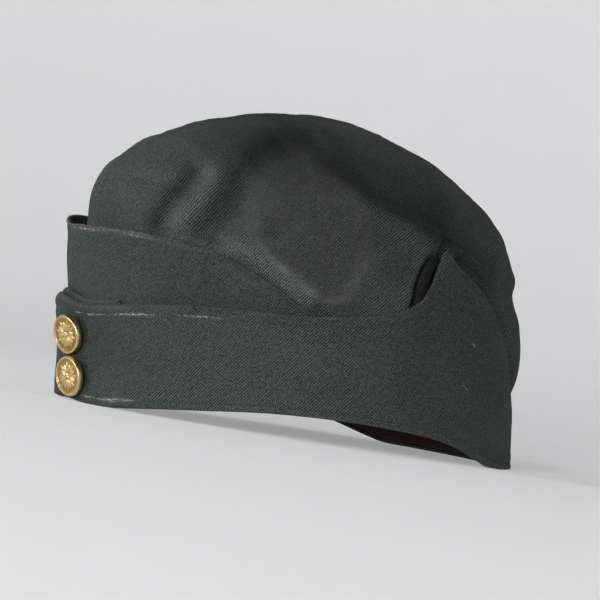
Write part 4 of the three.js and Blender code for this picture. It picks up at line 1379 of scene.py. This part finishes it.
def stored(tree, label, kind="FLOAT_VECTOR"):
    """What the guide's mesh has stored under a name."""
    return wire(tree, "GeometryNodeInputNamedAttribute", {"Name": label}, data_type=kind).outputs[0]


def aligned(tree, axis, inputs, pivot="AUTO"):
    kind = "FunctionNodeAlignRotationToVector"
    return wire(tree, kind, inputs, axis=axis, pivot_axis=pivot).outputs[0]


def chosen(tree, low, high, seed):
    """A random vector between two."""
    inputs = {"Min": low, "Max": high, "Seed": seed}
    return wire(tree, "FunctionNodeRandomValue", inputs, data_type="FLOAT_VECTOR").outputs[0]


def combined(tree, x, y, z):
    return wire(tree, "ShaderNodeCombineXYZ", {0: x, 1: y, 2: z}).outputs[0]


def plant(tree, points, shape, rotation, jitter, size, cover):
    """Ends a node group: a shape on each point, turned a little more, real and with a material."""
    turned = {"Rotation": rotation, "Rotate By": jitter}
    swung = wire(tree, "FunctionNodeRotateRotation", turned, rotation_space="LOCAL").outputs[0]
    inputs = {"Points": points, "Instance": shape, "Rotation": swung, "Scale": size}
    laid = wire(tree, "GeometryNodeInstanceOnPoints", inputs).outputs[0]
    real = wire(tree, "GeometryNodeRealizeInstances", {"Geometry": laid}).outputs[0]
    done = wire(tree, "GeometryNodeSetMaterial", {"Geometry": real, "Material": cover}).outputs[0]
    tree.links.new(done, tree.nodes.new("NodeGroupOutput").inputs[0])


def stitch_tree():
    """Node group that lays stitches along guide lines."""
    lengths = (("Stitch Length", 0.002), ("Stitch Gap", 0.0007), ("Thread Width", 0.0004))
    tree, given = node_group("lay_stitches", lengths, "Thread")
    long, wide, seed = given["Stitch Length"], given["Thread Width"], given["Seed"]
    pitch = sums(tree, "ADD", long, given["Stitch Gap"])
    line = wire(tree, "GeometryNodeMeshToCurve", {"Mesh": given["Geometry"]}).outputs[0]
    inputs = {"Curve": line, "Length": pitch}
    marked = wire(tree, "GeometryNodeResampleCurve", inputs, mode="LENGTH").outputs[0]
    inputs = {"Segments": 8, "Rings": 5, "Radius": 0.5}
    bead = wire(tree, "GeometryNodeMeshUVSphere", inputs).outputs[0]
    inputs = {"Geometry": bead, "Scale": combined(tree, long, wide, wide)}
    stitch = wire(tree, "GeometryNodeTransform", inputs).outputs[0]
    tangent = wire(tree, "GeometryNodeInputTangent").outputs[0]
    along = aligned(tree, "X", {"Vector": tangent})
    inputs = {"Rotation": along, "Vector": stored(tree, "facing")}
    square = aligned(tree, "Z", inputs, pivot="X")
    jitter = chosen(tree, (0, 0, -0.09), (0, 0, 0.09), seed)
    size = chosen(tree, (0.85, 0.9, 0.8), (1.08, 1.1, 1.1), seed)
    plant(tree, marked, stitch, square, jitter, size, given["Thread"])
    return tree


def hair_tree():
    """Node group that sets bent loose fibres on guide points."""
    lengths = (("Fibre Length", 0.0016), ("Fibre Width", 0.00009), ("Swing", 3.1))
    tree, given = node_group("loose_fibres", lengths, "Fibre")
    whole, swing, tilt = given["Fibre Length"], given["Swing"], 0.15
    path = {"Start": (-0.5, 0, 0), "Middle": (0.05, 0.1, 0.12), "End": (0.5, -0.06, 0.03)}
    bend = wire(tree, "GeometryNodeCurveQuadraticBezier", {"Resolution": 5, **path}).outputs[0]
    thin = sums(tree, "DIVIDE", given["Fibre Width"], whole)
    inputs = {"Resolution": 3, "Radius": thin}
    ring = wire(tree, "GeometryNodeCurvePrimitiveCircle", inputs).outputs[0]
    inputs = {0: bend, 1: ring, "Fill Caps": True}
    tube = wire(tree, "GeometryNodeCurveToMesh", inputs).outputs[0]
    square = aligned(tree, "Z", {"Vector": stored(tree, "facing")})
    inputs = {"Rotation": square, "Vector": stored(tree, "along")}
    level = aligned(tree, "X", inputs, pivot="Z")
    low = combined(tree, -tilt, -tilt, sums(tree, "MULTIPLY", swing, -1))
    high = combined(tree, tilt, tilt, swing)
    jitter = chosen(tree, low, high, given["Seed"])
    grow = sums(tree, "MULTIPLY", stored(tree, "long", "FLOAT"), whole)
    size = combined(tree, grow, whole, whole)
    plant(tree, given["Geometry"], tube, level, jitter, size, given["Fibre"])
    return tree


def guide(name, lines, facings, marks, ways=None, sizes=None):
    """A mesh of guide lines with the way each faces and how worn it is, or of guide points,
    with the way that each runs and how long it is as well."""
    edges, start = [], 0
    for line in lines:
        if ways is None:
            edges += [(start + k, start + k + 1) for k in range(len(line) - 1)]
        start += len(line)
    mesh = mesh_from(name, np.concatenate(lines), edges, [])
    for label, given in (("facing", facings), ("along", ways)):
        if given is not None:
            place_mark(mesh, label, np.concatenate(given), "FLOAT_VECTOR", "vector")
    for label, given in (("worn", marks), ("long", sizes)):
        if given is not None:
            place_mark(mesh, label, np.concatenate(given))
    return linked(name, mesh)


def grown(name, base, tree, inputs):
    """The plain mesh that a node group makes of a guide, with the guide and modifier removed."""
    modifier = base.modifiers.new("grow", "NODES")
    modifier.node_group = tree
    for item in tree.interface.items_tree:
        if item.in_out == "INPUT" and item.name in inputs:
            modifier[item.identifier] = inputs[item.name]
    bpy.context.view_layer.update()
    ready = base.evaluated_get(bpy.context.evaluated_depsgraph_get())
    mesh = bpy.data.meshes.new_from_object(ready)
    mesh.name = name
    base.modifiers.remove(modifier)
    bpy.data.objects.remove(base)
    shade_smooth(mesh)
    return linked(name, mesh)


def surface_line(cap, turn, height, inset, lift):
    """A line on a turned-up layer's outer face, and the way that the face looks."""
    points = cap.layer(turn, height, inset - lift)
    out = cap.plan(turn, 0)[2]
    return points, np.stack([out[0], out[1], 0 * turn], -1)


class CAP_OT_stitches(bpy.types.Operator):
    """Sews the rows of stitches along the edges of the curtain and the peak"""

    bl_idname = "cap.stitches"
    bl_label = "Stitches"

    def execute(self, context):
        cap = form()
        cloth = context.scene.cap_cloth
        tree = stitch_tree()
        lift = 0.06  # of the thread over the curtain
        inputs = {
            "Stitch Length": cloth.stitch_length, "Stitch Gap": cloth.stitch_gap,
            "Thread Width": cloth.thread_width, "Seed": cloth.seed,
            "Thread": material("sewing_thread", thread_material),
        }
        for side, name in SIDES:
            turn, inset, edge, _ = curtain_lines(cap, side)
            foot = cap.rim(turn)
            keep = slice(2, -1) if side > 0 else slice(1, -2)
            lines, facings, marks = [], [], []
            slope = np.gradient(edge, turn) / CURTAIN_RADIUS
            degrees = np.degrees(turn)
            rows = (
                (edge - ROW * np.sqrt(1 + slope**2), CURTAIN_WEAR, LAST_TOP_STITCH),
                (foot + HEM_ROW, HEM_WEAR, 181),
            )
            for height, wear, last in rows:
                shown = np.abs(degrees) < last
                push = curtain_push(cap, turn, edge, foot, height[:, None], side)[:, 0]
                line, way = surface_line(cap, turn, height, inset, push + lift)
                worn = rubbed_row(degrees, wear) if side > 0 else 0 * turn
                for kept, values in ((lines, line), (facings, way), (marks, worn)):
                    kept.append(values[keep][shown[keep]])
            base = guide(f"curtain_rows_{name}", lines, facings, marks)
            piece = grown(f"curtain_stitches_{name}", base, tree, inputs)
            finish(piece, None, "curtain_twill")
        end, places, sunk = cap.peak_end - 0.03, 300, 0.2
        turn = np.linspace(-end, end, places)
        edge = cap.peak_edge(turn)
        slope = np.gradient(edge, turn) / PEAK_RADIUS
        height = edge - PEAK_ROW * np.sqrt(1 + slope**2)
        line, way = surface_line(cap, turn, height, cap.peak_flared(turn, height)[1], -sunk)
        shown = height > cap.curtain_edge(turn) + 1
        worn = rubbed_row(np.degrees(turn), PEAK_WEAR)
        base = guide("peak_row", [line[shown]], [way[shown]], [worn[shown]])
        finish(grown("peak_stitches", base, tree, inputs), None, "peak_twill")
        return {"FINISHED"}


def fibres(name, slot, tree, inputs, points, facing, ways, worn, sizes):
    """Bent fibres on places of a layer, as one piece."""
    base = guide(f"{name}_points", [points], [facing], [worn], [ways], [sizes])
    finish(grown(name, base, tree, inputs), None, slot)


class CAP_OT_fray(bpy.types.Operator):
    """Sets the loose fibres of the frayed edges, and the lint on the curtain"""

    bl_idname = "cap.fray"
    bl_label = "Fray and lint"

    def execute(self, context):
        cap = form()
        cloth = context.scene.cap_cloth
        tree = hair_tree()
        chance = np.random.default_rng(cloth.seed)
        thread = material("sewing_thread", thread_material)
        common = {"Seed": cloth.seed, "Fibre": thread}
        inputs = {"Fibre Length": 0.001, "Fibre Width": 0.000055, "Swing": 3.1, **common}
        # most of the fray is at the left front of the peak, and some of it all along
        at_front, elsewhere = 240, 60
        front, around = chance.normal(16, 16, at_front), chance.uniform(-60, 60, elsewhere)
        turn = np.concatenate([np.radians(front), np.radians(around)])
        turn = np.clip(turn, -1.2, 1.1)
        height = cap.peak_edge(turn) - np.abs(chance.normal(0, 0.7, len(turn)))
        points, out = surface_line(cap, turn, height, cap.peak_flared(turn, height)[1], 0)
        level = np.cross(out, [0, 0, 1.0])
        worn = chance.uniform(0.05, 0.75, len(turn))
        size = chance.uniform(0.4, 1.4, len(turn))
        facing = out + [0, 0, 0.8]
        fibres("peak_fray", "peak_twill", tree, inputs, points, facing, level, worn, size)

        # loose threads where the curtain's stitch rows are rubbed through
        places = []
        for wear, row in ((CURTAIN_WEAR, ROW), (HEM_WEAR, HEM_ROW)):
            for place, reach, wide, amount in wear:
                count = int(26 * amount * wide)
                at = np.radians(chance.normal(place, reach * 0.55, count))
                off = row + chance.normal(0, wide * 0.5, count)
                height = cap.rim(at) + off if wear is HEM_WEAR else cap.curtain_edge(at) - off
                places.append(np.stack([at, height], 1))
        at, height = np.concatenate(places).T
        points, out = surface_line(cap, at, height, 0, 0.12)
        level = np.cross(out, [0, 0, 1.0])
        worn = chance.uniform(0.45, 1, len(at))
        size = chance.uniform(0.6, 2.2, len(at))
        inputs = {"Fibre Length": 0.0013, "Fibre Width": 0.00007, "Swing": 0.5, **common}
        fibres("curtain_fray", "curtain_twill", tree, inputs, points, out, level, worn, size)

        at, height, down, size, worn = np.array(LINT).T
        points, out = surface_line(cap, np.radians(at), height, 0, 0.3)
        level = np.cross(out, [0, 0, 1.0]) * -np.cos(np.radians(down))[:, None]
        level[:, 2] -= np.sin(np.radians(down))
        inputs = {"Fibre Length": 0.001, "Fibre Width": 0.00011, "Swing": 0.05, **common}
        fibres("curtain_lint", "curtain_twill", tree, inputs, points, out, level, worn, size)
        return {"FINISHED"}


def bearing(azimuth, elevation):
    """The way from the cap at a turn from its nose and an elevation, in radians."""
    level = math.cos(elevation)
    return Vector((math.sin(azimuth) * level, -math.cos(azimuth) * level, math.sin(elevation)))


def backdrop():
    """A round floor that curves up into a wall."""
    flat, curve, top, spokes = 2.2, 1.6, 3.2, 72
    profile = [(0.5, 0), (1.2, 0), (flat, 0)]
    for a in np.linspace(0, math.pi / 2, 16)[1:]:
        profile.append((flat + curve * math.sin(a), curve - curve * math.cos(a)))
    profile.append((flat + curve, top))
    verts, faces = [(0, 0, 0)], []
    for out, up in profile:
        for a in np.linspace(0, 2 * math.pi, spokes, endpoint=False):
            verts.append((out * math.cos(a), out * math.sin(a), up))
    for k in range(spokes):
        after = (k + 1) % spokes
        faces.append((0, 1 + k, 1 + after))
        for ring in range(len(profile) - 1):
            low, high = 1 + ring * spokes, 1 + (ring + 1) * spokes
            faces.append((low + k, high + k, high + after, low + after))
    mesh = bpy.data.meshes.new("floor")
    mesh.from_pydata(verts, [], faces)
    shade_smooth(mesh)
    return linked("floor", mesh)


class CAP_OT_stage(bpy.types.Operator):
    """Builds the pale floor that curves up into a backdrop, the soft light and the camera"""

    bl_idname = "cap.stage"
    bl_label = "Stage"

    def execute(self, context):
        stage = context.scene.cap_stage
        floor = backdrop()
        paper, tree, shader = bare_material("floor_paper")
        give(shader, {
            "Base Color": (*stage.floor, 1), "Roughness": 0.95, "Specular IOR Level": 0.1,
            "Emission Color": (0.98, 0.98, 1, 1),
        })
        place = wire(tree, "ShaderNodeTexCoord").outputs["Object"]
        height = wire(tree, "ShaderNodeSeparateXYZ", {0: place}).outputs[2]
        # the backdrop glows up to 1.1 m, and less and less from there to 1.9 m
        fade = {0: height, 1: 1.1, 2: 1.9, 3: stage.glow, 4: 0.0}
        glow = wire(tree, "ShaderNodeMapRange", fade, interpolation_type="SMOOTHSTEP")
        tree.links.new(glow.outputs[0], shader.inputs["Emission Strength"])
        floor.data.materials.append(paper)

        lights = (
            # name, azimuth and elevation in degrees, distance, size, power
            ("front_softbox", 0, 10.5, 3.05, 1.0, 42),
            ("side_softbox", 52, 10.5, 3.05, 1.0, 58),
        )
        for name, azimuth, elevation, distance, size, power in lights:
            toward = bearing(math.radians(azimuth), math.radians(elevation))
            lamp = bpy.data.lights.new(name, "AREA")
            lamp.shape = "DISK"
            lamp.size = size
            lamp.energy = power
            light = linked(name, lamp)
            light.location = toward * distance + Vector((0, 0, 0.06))
            light.rotation_euler = toward.to_track_quat("Z", "Y").to_euler()
            light.visible_camera = False
        world = bpy.data.worlds.new("studio")
        world.use_nodes = True
        sky = next(n for n in world.node_tree.nodes if n.type == "BACKGROUND")
        give(sky, {"Color": (0.95, 0.97, 1, 1), "Strength": 0.01})
        context.scene.world = world
        context.scene.view_settings.view_transform = "Standard"

        back = bearing(stage.azimuth, stage.elevation)
        flat = Vector((math.cos(stage.azimuth), math.sin(stage.azimuth), 0))
        upward = back.cross(flat).normalized()
        c, s = math.cos(stage.roll), math.sin(stage.roll)
        right, upright = flat * c + upward * s, -flat * s + upward * c
        lens = bpy.data.cameras.new("camera")
        lens.lens = stage.lens
        lens.sensor_width = 36
        camera = linked("camera", lens)
        place = Vector(stage.aim) + back * stage.distance
        turned = Matrix((right, upright, back)).transposed().to_4x4()
        camera.matrix_world = Matrix.Translation(place) @ turned
        context.scene.camera = camera
        return {"FINISHED"}


STEPS = (
    CAP_OT_stage,
    CAP_OT_crown,
    CAP_OT_peak,
    CAP_OT_curtain,
    CAP_OT_slit_plies,
    CAP_OT_lining,
    CAP_OT_buttons,
    CAP_OT_stitches,
    CAP_OT_fray,
)
GROUPS = {
    "cap_sizes": CapSizes,
    "cap_cloth": CapCloth,
    "cap_buttons": CapButtons,
    "cap_stage": CapStage,
}


class CAP_PT_panel(bpy.types.Panel):
    """Lists the cap's sizes and the steps that build it"""

    bl_idname = "CAP_PT_panel"
    bl_label = "Garrison Cap"
    bl_space_type = "VIEW_3D"
    bl_region_type = "UI"
    bl_category = "Cap"

    def draw(self, context):
        for group, kind in GROUPS.items():
            box = self.layout.box()
            for key in kind.__annotations__:
                box.prop(getattr(context.scene, group), key)
        for step in STEPS:
            self.layout.operator(step.bl_idname)


def register():
    for kind in (*GROUPS.values(), *STEPS, CAP_PT_panel):
        bpy.utils.register_class(kind)
    for group, kind in GROUPS.items():
        setattr(bpy.types.Scene, group, PointerProperty(type=kind))


def unregister():
    for group in GROUPS:
        delattr(bpy.types.Scene, group)
    for kind in (CAP_PT_panel, *reversed(STEPS), *reversed(GROUPS.values())):
        bpy.utils.unregister_class(kind)


def main():
    register()
    bpy.ops.cap.stage()
    bpy.ops.cap.crown()
    bpy.ops.cap.peak()
    bpy.ops.cap.curtain()
    bpy.ops.cap.slit_plies()
    bpy.ops.cap.lining()
    bpy.ops.cap.buttons()
    bpy.ops.cap.stitches()
    bpy.ops.cap.fray()


if __name__ == "__main__":
    main()
